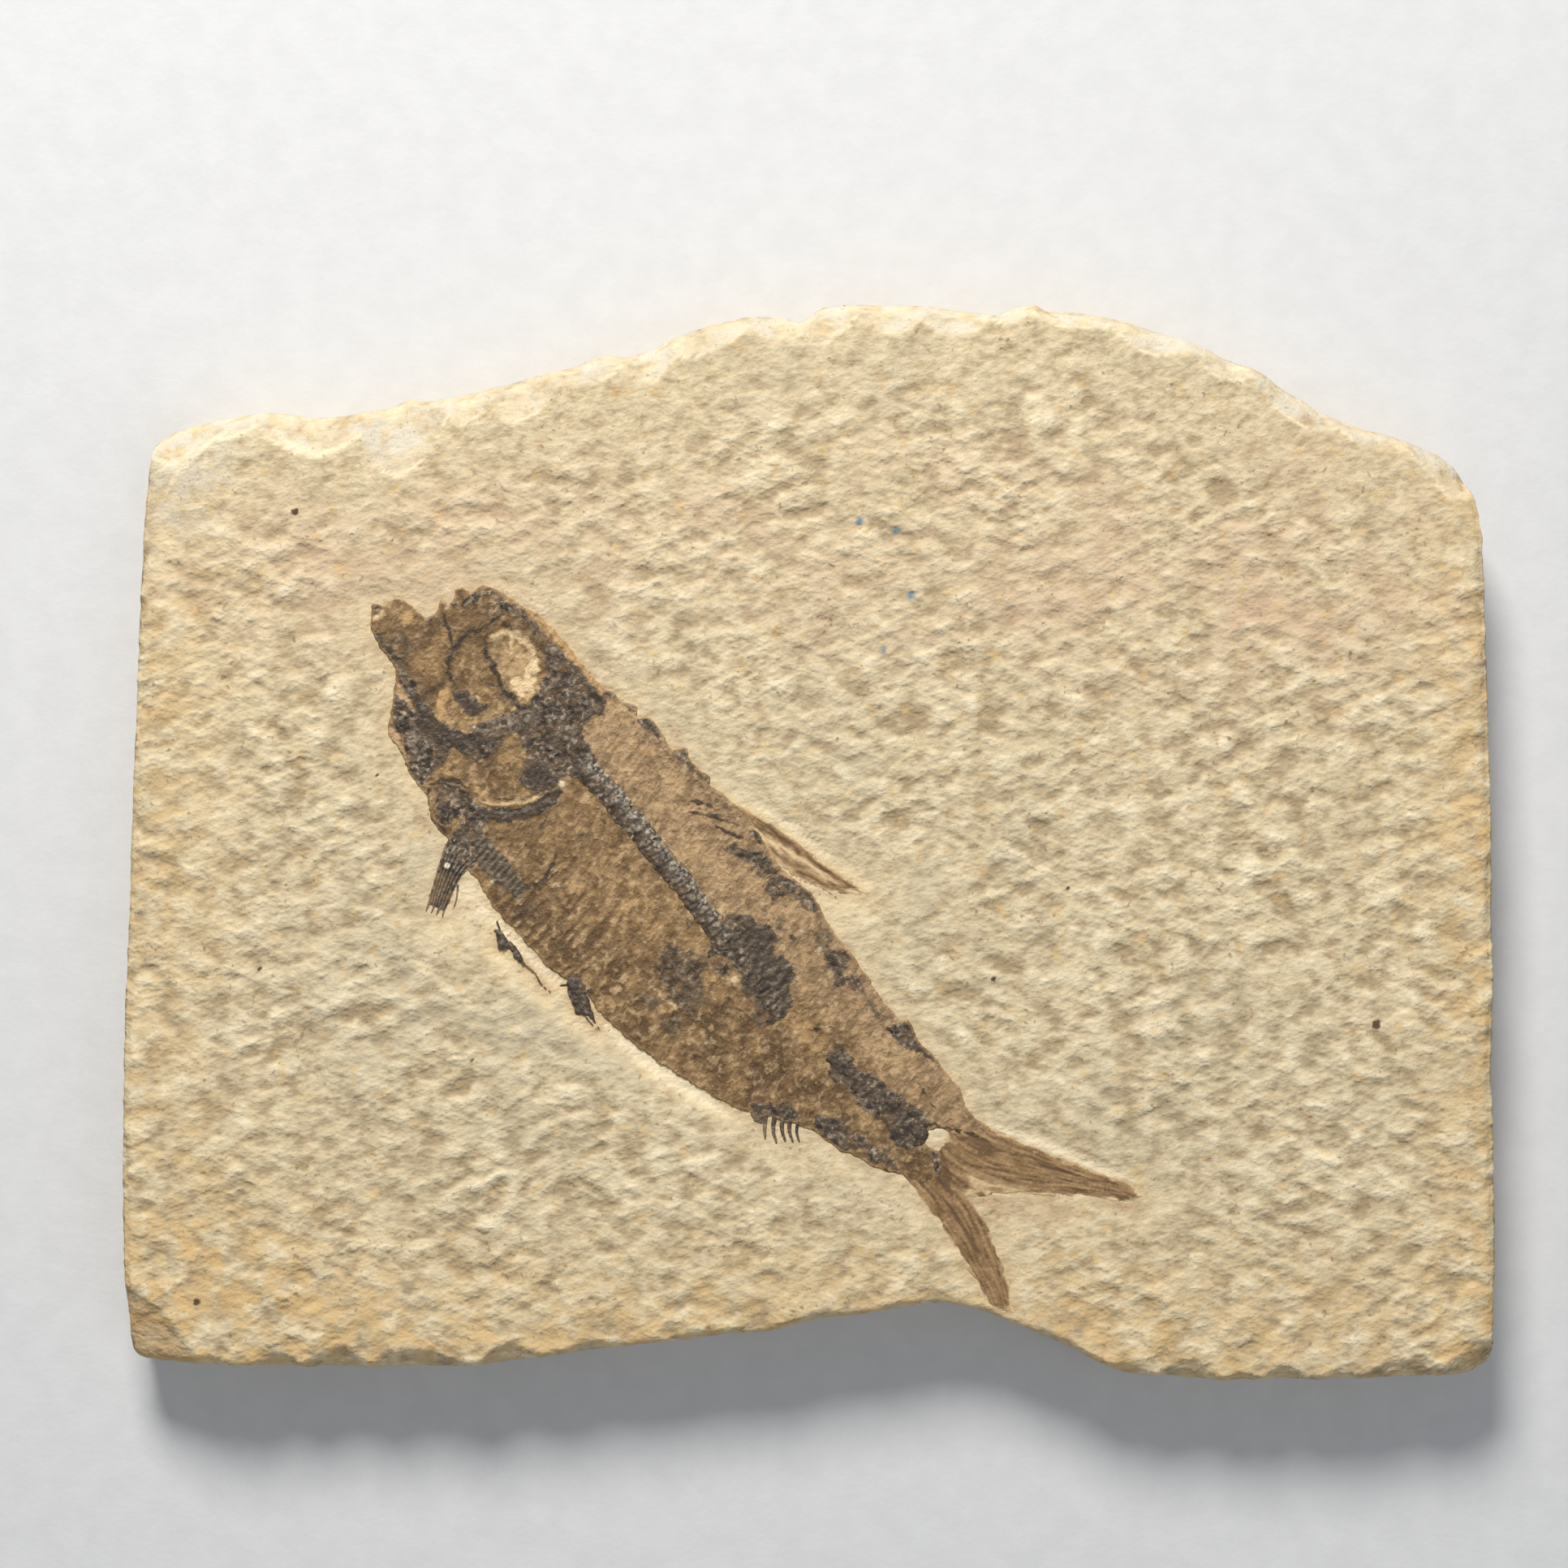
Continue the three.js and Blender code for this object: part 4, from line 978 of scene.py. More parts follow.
        ((22, -5), (1, 1), 0.4), ((31, -13), (7, 2.4), -0.5), ((39, -12), (4, 2), -0.3),
        ((50, -8), (8, 3.5), -0.55), ((41, -7), (4, 2.5), -0.4), ((29, -8), (5, 3), 0.3),
        ((37, -3.5), (3, 1.2), 0.5), ((46.5, -11.5), (2, 1.5), 0.3), ((53, 1), (4, 1.6), 0.35),
        ((60, 2.5), (6, 1.4), 0.3), ((53.5, -2), (2, 1.2), 0.4), ((58, -6), (5, 2), -0.3),
        ((66, 3), (3, 1.2), -0.3), ((33, 7), (6, 1), -0.5), ((70, -3), (2, 1.5), -0.7),
        ((71, 3), (2, 0.8), -0.5),
    ],
    # painted shade, soft and brown, along the creases between the skull's plates: points, width and strength
    "creaseShadeLines": [
        ([(5.1, 5.2), (4.7, 2.4), (4.1, 0.8), (4.4, -1), (5, -2.4), (6, -3.1), (7.4, -3.4)], 1.3, 0.9),
        ([(1.4, 2.6), (1.4, 0.6), (1.6, -2.5), (1.8, -5)], 1.1, 0.7),
        ([(5, 2.6), (6, 1.6), (7.4, 0.8), (9, 0.2)], 1.1, 0.8),
        ([(1.6, -5.2), (3.6, -5.5), (6, -6.1)], 1.0, 0.7),
        ([(6.4, -3.4), (7.4, -2), (9, -0.6)], 0.9, 0.6),
        ([(5.6, -3.3), (5.5, -4.6), (5.2, -5.9)], 0.9, 0.6),
        ([(2.9, 4.4), (3, 2.6), (2.6, 0.6)], 0.8, 0.5), ([(1, -0.8), (-1, -1), (-2.6, -1.6)], 0.6, 0.5),
        ([(-2.4, -4.6), (-0.6, -3.6), (1, -3.4)], 1.0, 0.5),
        ([(14.2, -3.4), (14.8, -5.2), (14.5, -7.6), (13.8, -9.2)], 1.0, 0.7),
        ([(16.6, -3), (17.2, -5), (17, -7)], 1.2, 0.5),
        ([(21.6, -3), (21.9, -6), (21, -9), (19, -10.8)], 1.5, 0.6),
        ([(5.6, 4), (7.2, 5), (9.6, 5.2)], 0.8, 0.6), ([(3.2, 0.4), (3.2, -1.4), (3.5, -3.4)], 0.5, 0.4),
        ([(12.6, 4.6), (14.4, 4.2), (16.6, 4.6)], 0.8, 0.4),
    ],
    # stretches of bone that are smooth
    "smooth": [
        [(4.4, -5.9), (6.5, -6.4), (8.2, -6.7), (9.5, -6.3), (11.4, -5.4), (12.2, -4.4), (12.6, -4.6),
         (12.4, -6), (11.4, -6.9), (10.2, -8.2), (8.4, -8.4), (6.4, -8.2), (6.2, -7.2), (4.8, -7)],
        [(7.2, -3.6), (8, -2.95), (9.5, -2.75), (10.4, -2.3), (10.6, -3.3), (9.8, -4.2), (8.6, -4.1),
         (7.6, -4)],
        [(17.4, -2.6), (19.4, -2.4), (19.9, -3.6), (19.4, -4.7), (18.3, -5), (17.2, -4.2)],
        [(42, 1.5), (44.2, 2.2), (45.2, 1.6), (48.9, 0.9), (50.4, -1), (50.8, -3.6), (47, -3.2),
         (44, -1.4)],
        [(18.4, -11.4), (22, -11.4), (25, -12), (25, -12.8), (20, -13.2)],
        [(15.8, -10.2), (16.8, -9.6), (18.2, -8.4), (19.4, -6.9), (20.3, -5.2), (20.6, -3), (21.3, -3),
         (21.3, -5.4), (19.8, -8.4), (17.4, -10.4)],
    ],
    # fine fibres that fan out over the skull's plates: centre, region, radii and spacing in degrees
    "fans": [
        ((5.5, 3.5), (2.6, -1.8), (2.0, 4.2), 3.6), ((9, -7.5), (6.4, -4.8), (2.0, 1.6), 5),
        ((13, -1), (16.6, -6), (3.0, 2.6), 4), ((3, 5), (0, -3), (2.6, 2.2), 3),
    ],
    # places where the stone or clean bone shows through: strength, and outline
    "eyeSocket": (0.3, [(5.8, 1.9), (5.8, 3.4), (7, 4.3), (9.5, 4.8), (10.8, 4.3), (11.8, 3.1),
        (12.4, 1.6), (12.2, 0.8), (11, 0.5), (9.6, 0.7), (8, 1.1), (6.8, 1.6)]),
    "pale": [
        (1.0, [(10.2, 4.1), (11.1, 3.7), (11.9, 2.6), (12.2, 1.5), (11.9, 0.6), (10.6, 0.5), (10.1, 1.1),
         (10.7, 2.1), (10.3, 3)]),
        (0.8, [(12.2, 1.9), (12.8, 1.8), (12.7, 0.9), (12.2, 1)]),
        (0.8, [(-3.4, -3.3), (-2.7, -3.1), (-2.5, -4), (-2.8, -4.7), (-3.4, -4)]),
        (0.9, [(0.7, 1.8), (1.3, 1.9), (1.4, 1.4), (1, 1.2)]),
        (0.9, [(68.4, -1), (69, 0.4), (70.2, 0.5), (70.5, -0.5), (70, -1), (69, -1.2)]),
        (0.55, [(23.4, 8.3), (24.6, 8.3), (25.8, 8), (25.9, 7.4), (24.8, 7.3), (23.8, 7.6)]),
        (0.6, [(39.2, 0.9), (40.4, 0.7), (40.3, -0.2), (39.4, -0.2)]),
        (0.5, [(37.5, 0.7), (38.4, 0.8), (38.2, 0), (37.6, 0)]),
        (0.5, [(28.1, -14), (28.8, -14.2), (28.8, -15), (28.1, -15)]),
        (0.6, [(39.8, -9.4), (43.6, -9.2), (43.4, -9.6), (40.2, -9.8)]),
        (0.5, [(4, 4.9), (4.3, 5.2), (4.5, 4.8)]),
        (0.55, [(8, -2.4), (9.6, -2.3), (9.4, -2.8), (8.2, -2.8)]),
    ],
    "golden": [
        (0.9, [(5, 6.5), (8, 6.7), (11, 6.6), (14, 6.5), (17, 6.3), (17, 6.8), (13, 7.2), (9, 7.3),
         (6, 6.9)]),
        (0.9, [(6.4, -3.6), (7, -3.9), (7.5, -5), (8.5, -6.6), (7.6, -6.3), (6.6, -5.4), (6.1, -4.6)]),
        (0.75, [(-1.7, -1.4), (-0.4, -1.3), (-0.5, -2.3), (-1.4, -2.7)]),
        (0.75, [(14.8, -3.9), (15.4, -4.2), (15.6, -5.3), (14.9, -5.6), (14.5, -4.7)]),
        (0.6, [(8.2, -1.9), (9.2, -1.2), (9.8, -1.1), (9, -1.9)]),
        (0.6, [(11.4, -10.6), (12.4, -9.8), (13, -9.6), (12.6, -9), (11.6, -9.6)]),
        (0.6, [(14.7, -8.1), (16.2, -8.1), (16.2, -8.8), (14.9, -8.8)]),
        (0.7, [(21.8, -4.5), (22.4, -4.6), (22.4, -5.6), (21.9, -5.5)]),
        (0.45, [(22.9, 5.6), (23.3, 6.3), (24.2, 6.4), (24.8, 5.8), (24.4, 5.1), (23.4, 5)]),
        (0.5, [(24, 6.6), (25.4, 6.7), (25.4, 6.1), (24.9, 6)]),
        (0.5, [(16.1, 0.3), (16.9, 0.2), (17, -0.5), (16.3, -0.6)]),
        (0.45, [(12.5, 5.7), (13.6, 5.5), (13.3, 4.8), (12.6, 4.9)]),
        (0.6, [(44.9, -2.9), (45.6, -3), (45.7, -3.9), (45, -4)]),
        (0.5, [(42.9, -4.6), (44.2, -4.6), (43.9, -6), (43, -6)]),
        (0.4, [(51, -1), (56.5, -1), (56.5, -3), (51, -3)]),
        (0.35, [(2, -0.6), (4, -0.6), (4.6, -4.6), (2.4, -5)]),
    ],
    "blush": [
        (0.8, [(2.7, -7), (3.6, -7), (5.4, -7.3), (6, -7.6), (4.6, -7.7), (3.6, -7.9)]),
        (0.8, [(5.2, -10.3), (6.8, -10.3), (8.2, -11), (8.8, -11.6), (7, -11.2), (5.6, -11)]),
        (0.6, [(13.4, -7), (15, -7.4), (15.6, -8.4), (14, -8.7), (13.4, -8)]),
        (0.7, [(9.6, -11.8), (11.4, -12.1), (13, -12.3), (12.4, -12.7), (10.6, -12.4)]),
        (0.4, [(12.1, -11.6), (12.6, -10.6), (14, -9.9), (15.3, -9.6), (15.8, -10.6), (15.6, -12),
         (14.6, -13.3), (13.2, -12.9), (12.3, -12.2)]),
        (0.4, [(46.2, 4.5), (47, 4.4), (46.8, 3.8), (46.2, 3.9)]),
    ],
    # pale lines: points, width and strength
    "gillRim": ([(20.4, -3.5), (20, -5), (19.1, -6.6), (17.9, -8), (16.3, -9.4)], 0.34, 0.5),
    "paleLines": [
        ([(18.75, -8.75), (19.6, -8.75)], 0.36, 0.95), ([(6.2, 4.2), (7, 4.7), (7.8, 4.9)], 0.2, 0.6),
        ([(29, 1.25), (31, 0.95), (33, 0.75), (36, 0.7)], 0.18, 0.6),
        ([(7.2, 3.9), (7.9, 3.2), (8.5, 2.7)], 0.22, 0.6), ([(11.2, -2.6), (11.9, -1.6)], 0.2, 0.5),
        ([(10.9, -3.9), (11.7, -2.5), (12.3, -1.4)], 0.2, 0.5), ([(24, 6.75), (25.3, 6.5)], 0.16, 0.6),
        ([(33.5, 0.3), (33.7, -0.8)], 0.18, 0.8),
        ([(5.7, 2.3), (6.3, 3.6), (7.4, 4.3), (9.2, 4.5), (10.8, 3.9)], 0.8, 0.48),
    ],
    # the groove behind the gill cover's rim
    "gillGroove": [(20.7, -3.4), (20.4, -5.2), (19.8, -6.7), (18.9, -8), (17.4, -9)],
    # small domed grains and scales: place, radius and brightness
    "grains": [
        (20.6, -2.4, 0.3, 1.0), (11, -4.7, 0.18, 0.9), (45.3, -3.5, 0.34, 0.45), (27.3, -9.35, 0.14, 0.7),
        (22.7, -13.6, 0.15, 0.9), (46.4, 4.25, 0.2, 0.5), (48.9, 4.35, 0.24, 0.35),
        (40.5, 3.75, 0.18, 0.4), (42.1, 3.4, 0.18, 0.35), (22, 3.3, 0.16, 0.3), (44.4, -4.2, 0.12, 0.5),
        (47.8, -9.6, 0.14, 0.5), (51.2, -7.3, 0.12, 0.5), (49.2, -10, 0.12, 0.6), (34.6, 7.3, 0.14, 0.5),
        (31.2, -8, 0.12, 0.5), (35.3, -9.6, 0.12, 0.5), (36.8, -5.3, 0.12, 0.5), (36.8, -7.2, 0.12, 0.5),
        (26.1, -13.1, 0.12, 0.7),
    ],
}
smoothBody = smoothLine(fishBody["outline"], closed=True, steps=2)


def bodyEdge(x, y):
    ragged = 0.7 * lumps(x, y, 1.3, 101) + 0.35 * lumps(x, y, 0.5, 102, 2)
    return outlineDistance(x, y, smoothBody) + fishBody["raggedness"] * ragged


def bellyRibs(x, y):
    # ribs spread from the backbone down across the belly, dark ones and pale ones between them
    belly = ramp(x, 21, 25) * ramp(x, 54, 40) * ramp(y, -1.5, -6)
    wander = 0.9 * lumps(x, 0.3 * y, 1.9, 121) + 0.25 * lumps(x, y, 1.4, 135)
    across = (x + 0.28 * np.maximum(y + 9, 0) + 0.04 * (y + 9) + wander) / fishBody["ribPitch"]
    dark = waves(across, 0, 0.9) * belly * ramp(lumps(x, 0.4 * y, 1.5, 136), -0.5, 0.3)
    depth = 0.15 + 2.2 * blob(x, y, (29.5, -12.5), (6, 4)) + 0.5 * ramp(lumps(x, y, 2.6, 122), -0.2, 0.5)
    pale = waves(across + 0.5, 0.5, 1) * belly * ramp(lumps(x, 0.5 * y, 1.3, 130), -0.1, 0.4)
    return dark * depth, pale * ramp(y, -7, -10)


def muscleStripes(x, y):
    # faint slanting stripes of muscle between the backbone's two bare stretches
    stripes = waves((x - 0.6 * y + 0.6 * lumps(x, y, 3, 124)) / fishBody["musclePitch"], 0.35, 0.95)
    return stripes * ramp(x, 49.5, 51.5) * ramp(x, 60, 56) * ramp(y, -3, -1) * ramp(y, 2.5, 0.6)


def skullFans(x, y):
    found = np.zeros(x.shape)
    for (fx, fy), region, radii, spacing in fishBody["fans"]:
        angle = np.degrees(np.arctan2(y - fy, x - fx)) + 3 * lumps(x, y, 1.6, 127)
        found = found + waves(angle / spacing, 0, 0.9) * ramp(blob(x, y, region, radii), 0.25, 0.6)
    return found


def paleBars(x, y, wx, wy):
    # pale bars across the fin's base, the gills and the patch in the middle
    b = fishBody
    base = 1.3 * waves((x + 0.1 * y) / b["barPitch"], 0, 0.7) * patchMask(wx, wy, b["finBase"][1])
    gills = waves((x - 0.62 * y + 0.2 * lumps(x, y, 1.5, 126)) / b["gillPitch"], 0, 0.8)
    gills = gills * patchMask(wx, wy, b["gillBars"][1])
    spines = waves((x - 0.2 * y + 0.5 * lumps(x, y, 1.6, 123)) / b["spinePitch"], 0, 0.9)
    spines = 0.8 * spines * ramp(lumps(x, y, 1.3, 134), -0.4, 0.2) * patchMask(wx, wy, b["midPatch"][1])
    return base + 0.9 * spines * ramp(y, -2.6, -1) + 0.7 * gills


def bodyMarks(x, y, away):
    # the masks that say where each kind of mark lies, and how strongly
    b = fishBody
    # patches and lines are drawn with wandering edges
    wx = x + 0.26 * lumps(x, y, 1.1, 111) + 0.16 * lumps(x, y, 0.42, 112)
    wy = y + 0.26 * lumps(x, y, 1.1, 113) + 0.16 * lumps(x, y, 0.42, 114)
    lx, ly = x + 0.2 * lumps(x, y, 0.8, 116, 2), y + 0.2 * lumps(x, y, 0.8, 117, 2)
    bone = b["bone"] + [b["gillBars"], b["finBase"], b["midPatch"]]
    bone = np.minimum(sum(thick * patchMask(wx, wy, outline, 0.3) for thick, outline in bone), 1.15)
    bone = bone + 0.2 * lumps(x, y, 1.5, 118, 2) * (bone > 0.2)
    smear = patches(wx, wy, b["smears"], 0.6) * (0.65 + 0.55 * ramp(lumps(x, y, 0.7, 115, 2), -0.4, 0.4))
    lines = strokes(lx, ly, b["lines"])
    lines = lines * (0.85 + 0.4 * lumps(x, y, 0.6, 119, 2) + 0.5 * lumps(x, y, 1.6, 129))
    pale = patches(wx, wy, [b["eyeSocket"]] + b["pale"], 0.25) * (0.8 + 0.5 * lumps(x, y, 0.8, 120, 2))
    pale = anyOf(pale, strokes(lx, ly, [b["gillRim"]] + b["paleLines"]))
    # painted shade along the creases between the skull's plates
    creaseShade = strokes(wx, wy, b["creaseShadeLines"], 0.7, 1.25) * (0.75 + 0.4 * lumps(x, y, 1, 128))
    ribs, paleRibs = bellyRibs(x, y)
    upperHalf = ramp(y + 0.5 * lumps(x, y, 3, 125), 0.6 - 0.02 * x, 2.4 - 0.02 * x)
    grains = [s * ramp(np.hypot(x - cx, y - cy), r * 1.2, r * 0.7) for cx, cy, r, s in b["grains"]]
    return {
        "bone": np.clip(bone, 0, 1.3), "smear": np.clip(smear, 0, 1), "lines": np.clip(lines, 0, 1),
        "smooth": anyOf(*[patchMask(wx, wy, outline, 0.6) for outline in b["smooth"]]),
        "creaseShade": np.clip(creaseShade, 0, 1), "pale": np.clip(pale, 0, 1), "grains": anyOf(*grains),
        "golden": patches(wx, wy, b["golden"], 0.3), "blush": patches(wx, wy, b["blush"], 0.3),
        "shade": sum(strength * blob(x, y, centre, radii) for centre, radii, strength in b["shades"]),
        "ribs": np.clip(ribs + 0.5 * muscleStripes(x, y) + 0.5 * skullFans(x, y), 0, 1),
        "paleRibs": 0.6 * np.clip(paleRibs, 0, 1), "bars": np.clip(paleBars(x, y, wx, wy), 0, 1),
        "upper": upperHalf * ramp(x, 17.5, 19.5), "rim": ramp(away, -0.45, -0.02),
    }


def bodyHeight(x, y, away):
    b, marks = fishBody, bodyMarks(x, y, away)
    thinnest = bedZ + b["rimThickness"]
    z = thinnest + (filmZ - 0.04 - thinnest) * ramp(-away, 0, 0.9)
    z = z + b["drape"] * lumps(x, y, 2.4, 131, 2) * ramp(-away, 0, 1.5)
    z = z + 0.03 * lumps(x, y, 0.6, 132, 2) * ramp(-away, 0, 0.4)
    bone = np.clip(np.maximum(marks["bone"], 0.6 * marks["smear"]), 0, 1)
    grainRise = b["grainRise"] * (1 - 0.7 * marks["smooth"])
    z = z + bone * (b["boneRise"] + grainRise * lumps(x, y, 0.5, 133, 2))
    z = z + b["lineRise"] * marks["lines"] - b["eyeSink"] * patchMask(x, y, b["eyeSocket"][1], 0.5)
    z = z + b["ribRise"] * marks["ribs"] + b["barRise"] * marks["bars"] + b["domeRise"] * marks["grains"]
    z = z + b["gillLip"] * strokeMask(x, y, b["gillRim"][0], 0.5, 0.2)
    z = z - b["gillSink"] * strokeMask(x, y, b["gillGroove"], 0.3, 0.15)
    return np.minimum(z, spineZ - 0.02)


fossil = {
    "brown": (137, 108, 72), "darkBrown": (94, 71, 45), "tan": (183, 150, 108), "dorsalTan": (186, 156, 120),
    "granule": (208, 177, 134), "pale": (234, 206, 160), "white": (236, 224, 198), "golden": (200, 161, 110),
    "blush": (198, 163, 126), "edge": (178, 143, 101),
    # bone
    "bone": (104, 88, 71), "blackBone": (57, 47, 38), "grain": (178, 165, 145), "boneBrown": (112, 84, 55),
    "smoothBone": (66, 56, 46), "bar": (134, 120, 98), "litBone": (186, 177, 160),
    # fins
    "finBrown": (152, 126, 96), "rayTan": (154, 123, 88), "webDark": (176, 142, 100),
    "webLight": (220, 192, 148), "webPale": (232, 210, 170), "frayed": (204, 176, 136),
    "rootBrown": (92, 68, 50),
    # roughness and shine, then the noises' sizes and the depths of their bumps, in mm
    "roughness": 0.62, "boneRoughness": 0.46, "finRoughness": 0.68, "filmSpecular": 0.35,
    "boneSpecular": 0.4, "finSpecular": 0.3, "mottleSize": 0.95, "cloudSize": 2.2, "patchSize": 1.15,
    "scaleSize": 0.72, "fineSize": 0.5, "streakSize": 0.8, "streakTurn": 52, "fineDepth": 0.13,
    "scaleDepth": 0.22, "boneDepth": 0.13, "finDepth": 0.1,
}


def boneColor(f, tone, smooth):
    # dark bone, cracked into pale granules
    mottle = f.noise(fossil["mottleSize"], 3, 0.6)
    color = f.mix(f.step(mottle, 0.36, 0.64), tone["blackBone"], tone["bone"])
    color = f.cover(color, tone["boneBrown"], f.step(f.noise(1.6, 3, 0.6), 0.52, 0.68), 0.6)
    granules = f.step(f.noise(0.46, 2, 0.5), 0.5, 0.68)
    thick = f.step(f.noise(1.9, 2, 0.5), 0.34, 0.6)
    color = f.cover(color, tone["grain"], granules, thick, 0.7)
    return f.cover(color, tone["smoothBone"], smooth, 0.75)


def scaleFilmFinish():
    s, tone = fossil, tonesOf(fossil)
    f = Finish("scaleFilm", s["roughness"], s["filmSpecular"])
    cloud = f.noise(s["cloudSize"], 4, 0.6, warp=0.4)
    patchy = f.noise(s["patchSize"], 3, 0.55, warp=0.3)
    fine = f.noise(s["fineSize"], 3, 0.6)
    scales = f.noise(s["scaleSize"], 2, 0.55)
    streak = f.noise(s["streakSize"], 3, 0.6, stretch=2.4, turn=s["streakTurn"])
    ragged = f.times(f.minus(fine, 0.5), 1.1)  # breaks up the edge of every mark
    # the film itself, from dark to light
    shade = f.plus(f.mask("shade"), f.times(cloud, 3.8), f.times(patchy, 2.1), -2.98)
    color = f.mix(f.step(shade, -0.85, 0), tone["darkBrown"], tone["brown"])
    color = f.cover(color, tone["tan"], f.step(shade, -0.05, 0.85))
    color = f.cover(color, tone["dorsalTan"], f.mask("upper"), 0.5)
    color = f.cover(color, tone["golden"], f.step(f.noise(1.7, 3, 0.6), 0.5, 0.68), 0.34)
    color = f.cover(color, tone["granule"], f.step(scales, 0.5, 0.66), 0.46)
    color = f.cover(color, tone["darkBrown"], f.step(streak, 0.52, 0.38), 0.5)
    color = f.cover(color, tone["darkBrown"], f.step(fine, 0.53, 0.68), 0.5)
    # ribs, worn places, and painted shade along the creases
    color = f.cover(color, tone["darkBrown"], f.mask("ribs"), 0.88)
    color = f.cover(color, tone["granule"], f.mask("paleRibs"), f.step(scales, 0.4, 0.56))
    for name, share in (("golden", 0.85), ("blush", 0.9), ("pale", 0.95)):
        color = f.cover(color, tone[name], f.step(f.plus(f.mask(name), ragged), 0.12, 0.9), share)
    color = f.cover(color, tone["darkBrown"], f.mask("creaseShade"), 0.9)
    # bone that lies on it, broken by holes except where it is smooth
    dark = boneColor(f, tone, f.mask("smooth"))
    color = f.cover(color, dark, f.step(f.plus(f.mask("smear"), ragged), 0.15, 0.85), 0.86)
    holes = f.times(f.step(f.noise(1.0, 4, 0.65, warp=0.3), 0.56, 0.68), 0.75)
    holes = f.minus(holes, f.times(f.mask("smooth"), 0.5))
    boneShare = f.step(f.minus(f.plus(f.mask("bone"), ragged), holes), 0.12, 0.74)
    color = f.cover(color, dark, boneShare)
    lineShare = f.step(f.plus(f.mask("lines"), f.times(ragged, 0.4)), 0.1, 0.65)
    color = f.cover(color, tone["blackBone"], lineShare, 0.9)
    color = f.cover(color, tone["bar"], f.mask("bars"), 0.62)
    color = f.cover(color, tone["edge"], f.step(f.plus(f.mask("rim"), ragged), 0.3, 0.9), 0.4)
    color = f.cover(color, tone["white"], f.mask("grains"), 0.8)
    gloss = f.step(f.plus(boneShare, f.times(fine, 0.4)), 0.1, 1.3)
    rough = f.mix(gloss, [s["roughness"]] * 3 + [1], [s["boneRoughness"]] * 3 + [1])
    normal = f.bump(fine, s["fineDepth"])
    normal = f.bump(scales, s["scaleDepth"], normal)
    normal = f.bump(streak, s["scaleDepth"], normal)
    return f.done(color, normal, rough)


# the bare backbone, in two stretches: its line, half width at each end and length of a vertebra

frontBackbone = {
    "low": (19.5, -4.6), "high": (52, 2.2), "step": 0.105, "bottom": 9.1, "seed": 141,
    "line": [(20.9, 0.3), (26, 0.1), (31, -0.35), (36, -0.85), (41, -1.4), (46, -1.8), (50.2, -2.5)],
    "half": (1.22, 0.98), "pitch": 1.2, "crown": 0.2, "joint": 0.1,
    "bare": 22,  # how many mm of it are bare and catch the light
}
rearBackbone = {
    "low": (55.5, -4), "high": (70, 1.4), "step": 0.12, "bottom": 9.1, "seed": 151,
    "line": [(57.2, -1.9), (60, -1.9), (64, -1.5), (67.8, -1.3)],
    "half": (0.7, 1.1), "pitch": 1.2, "crown": 0.1, "joint": 0.05, "bare": 0,
}


def spinePlace(x, y, spine):
    # where a point lies along the backbone, in mm, and across it, from -1 to 1
    line = smoothLine(spine["line"])
    length = np.hypot(*np.diff(line, axis=0).T).sum()
    away, along = lineDistance(x, y, line)
    side = np.sign(y - np.interp(x, line[:, 0], line[:, 1]))
    half = spine["half"][0] * (1 - along) + spine["half"][1] * along
    return along * length, side * away / half, half


def vertebraWave(along, across, spine):
    # 1 at the rims of each vertebra and 0 at its waist
    shifted = along + 0.12 * across * across + 0.34 * lumps(along, across * 0.6, 2.2, spine["seed"] + 1, 2)
    return 0.5 + 0.5 * np.cos(2 * math.pi * shifted / spine["pitch"])


def spineEdge(spine):
    def edge(x, y):
        along, across, half = spinePlace(x, y, spine)
        wide = 1 + 0.1 * (vertebraWave(along, across, spine) - 0.5)
        return (np.abs(across) - wide) * half + 0.18 * lumps(x, y, 0.8, spine["seed"], 2)
    return edge


def spineHeight(spine):
    def height(x, y, away):
        along, across, _ = spinePlace(x, y, spine)
        wave = vertebraWave(along, across, spine)
        crown = 1 - np.clip(np.abs(across), 0, 1) ** 2.2
        joint = np.exp(-((1 - wave) / 0.16) ** 2)
        swelling = 0.3 * lumps(along, 0 * along, 1.6, spine["seed"] + 5)
        tall = spine["crown"] * crown * (0.7 + 0.35 * wave + swelling)
        tall = tall - spine["joint"] * joint * (0.4 + 0.6 * crown)
        tall = tall + 0.11 * lumps(x, y, 0.7, spine["seed"] + 2, 2)
        return np.clip(filmZ - 0.02 + tall * ramp(-away, -0.02, 0.3), spine["bottom"] + 0.05, spineZ)
    return height


def spineMarks(spine):
    def marks(x, y, away):
        along, across, _ = spinePlace(x, y, spine)
        joint = np.exp(-((1 - vertebraWave(along, across, spine)) / 0.18) ** 2)
        bare = ramp(along, spine["bare"], spine["bare"] - 5)
        lit = ramp(across + 0.3 * lumps(x, y, 1.2, spine["seed"] + 3), -0.6, 0.5) * bare
        lit = lit * (0.6 + 0.5 * ramp(lumps(x, y, 0.7, spine["seed"] + 4), -0.3, 0.3))
        return {"joint": 0.9 * joint, "lit": np.clip(lit, 0, 1)}
    return marks


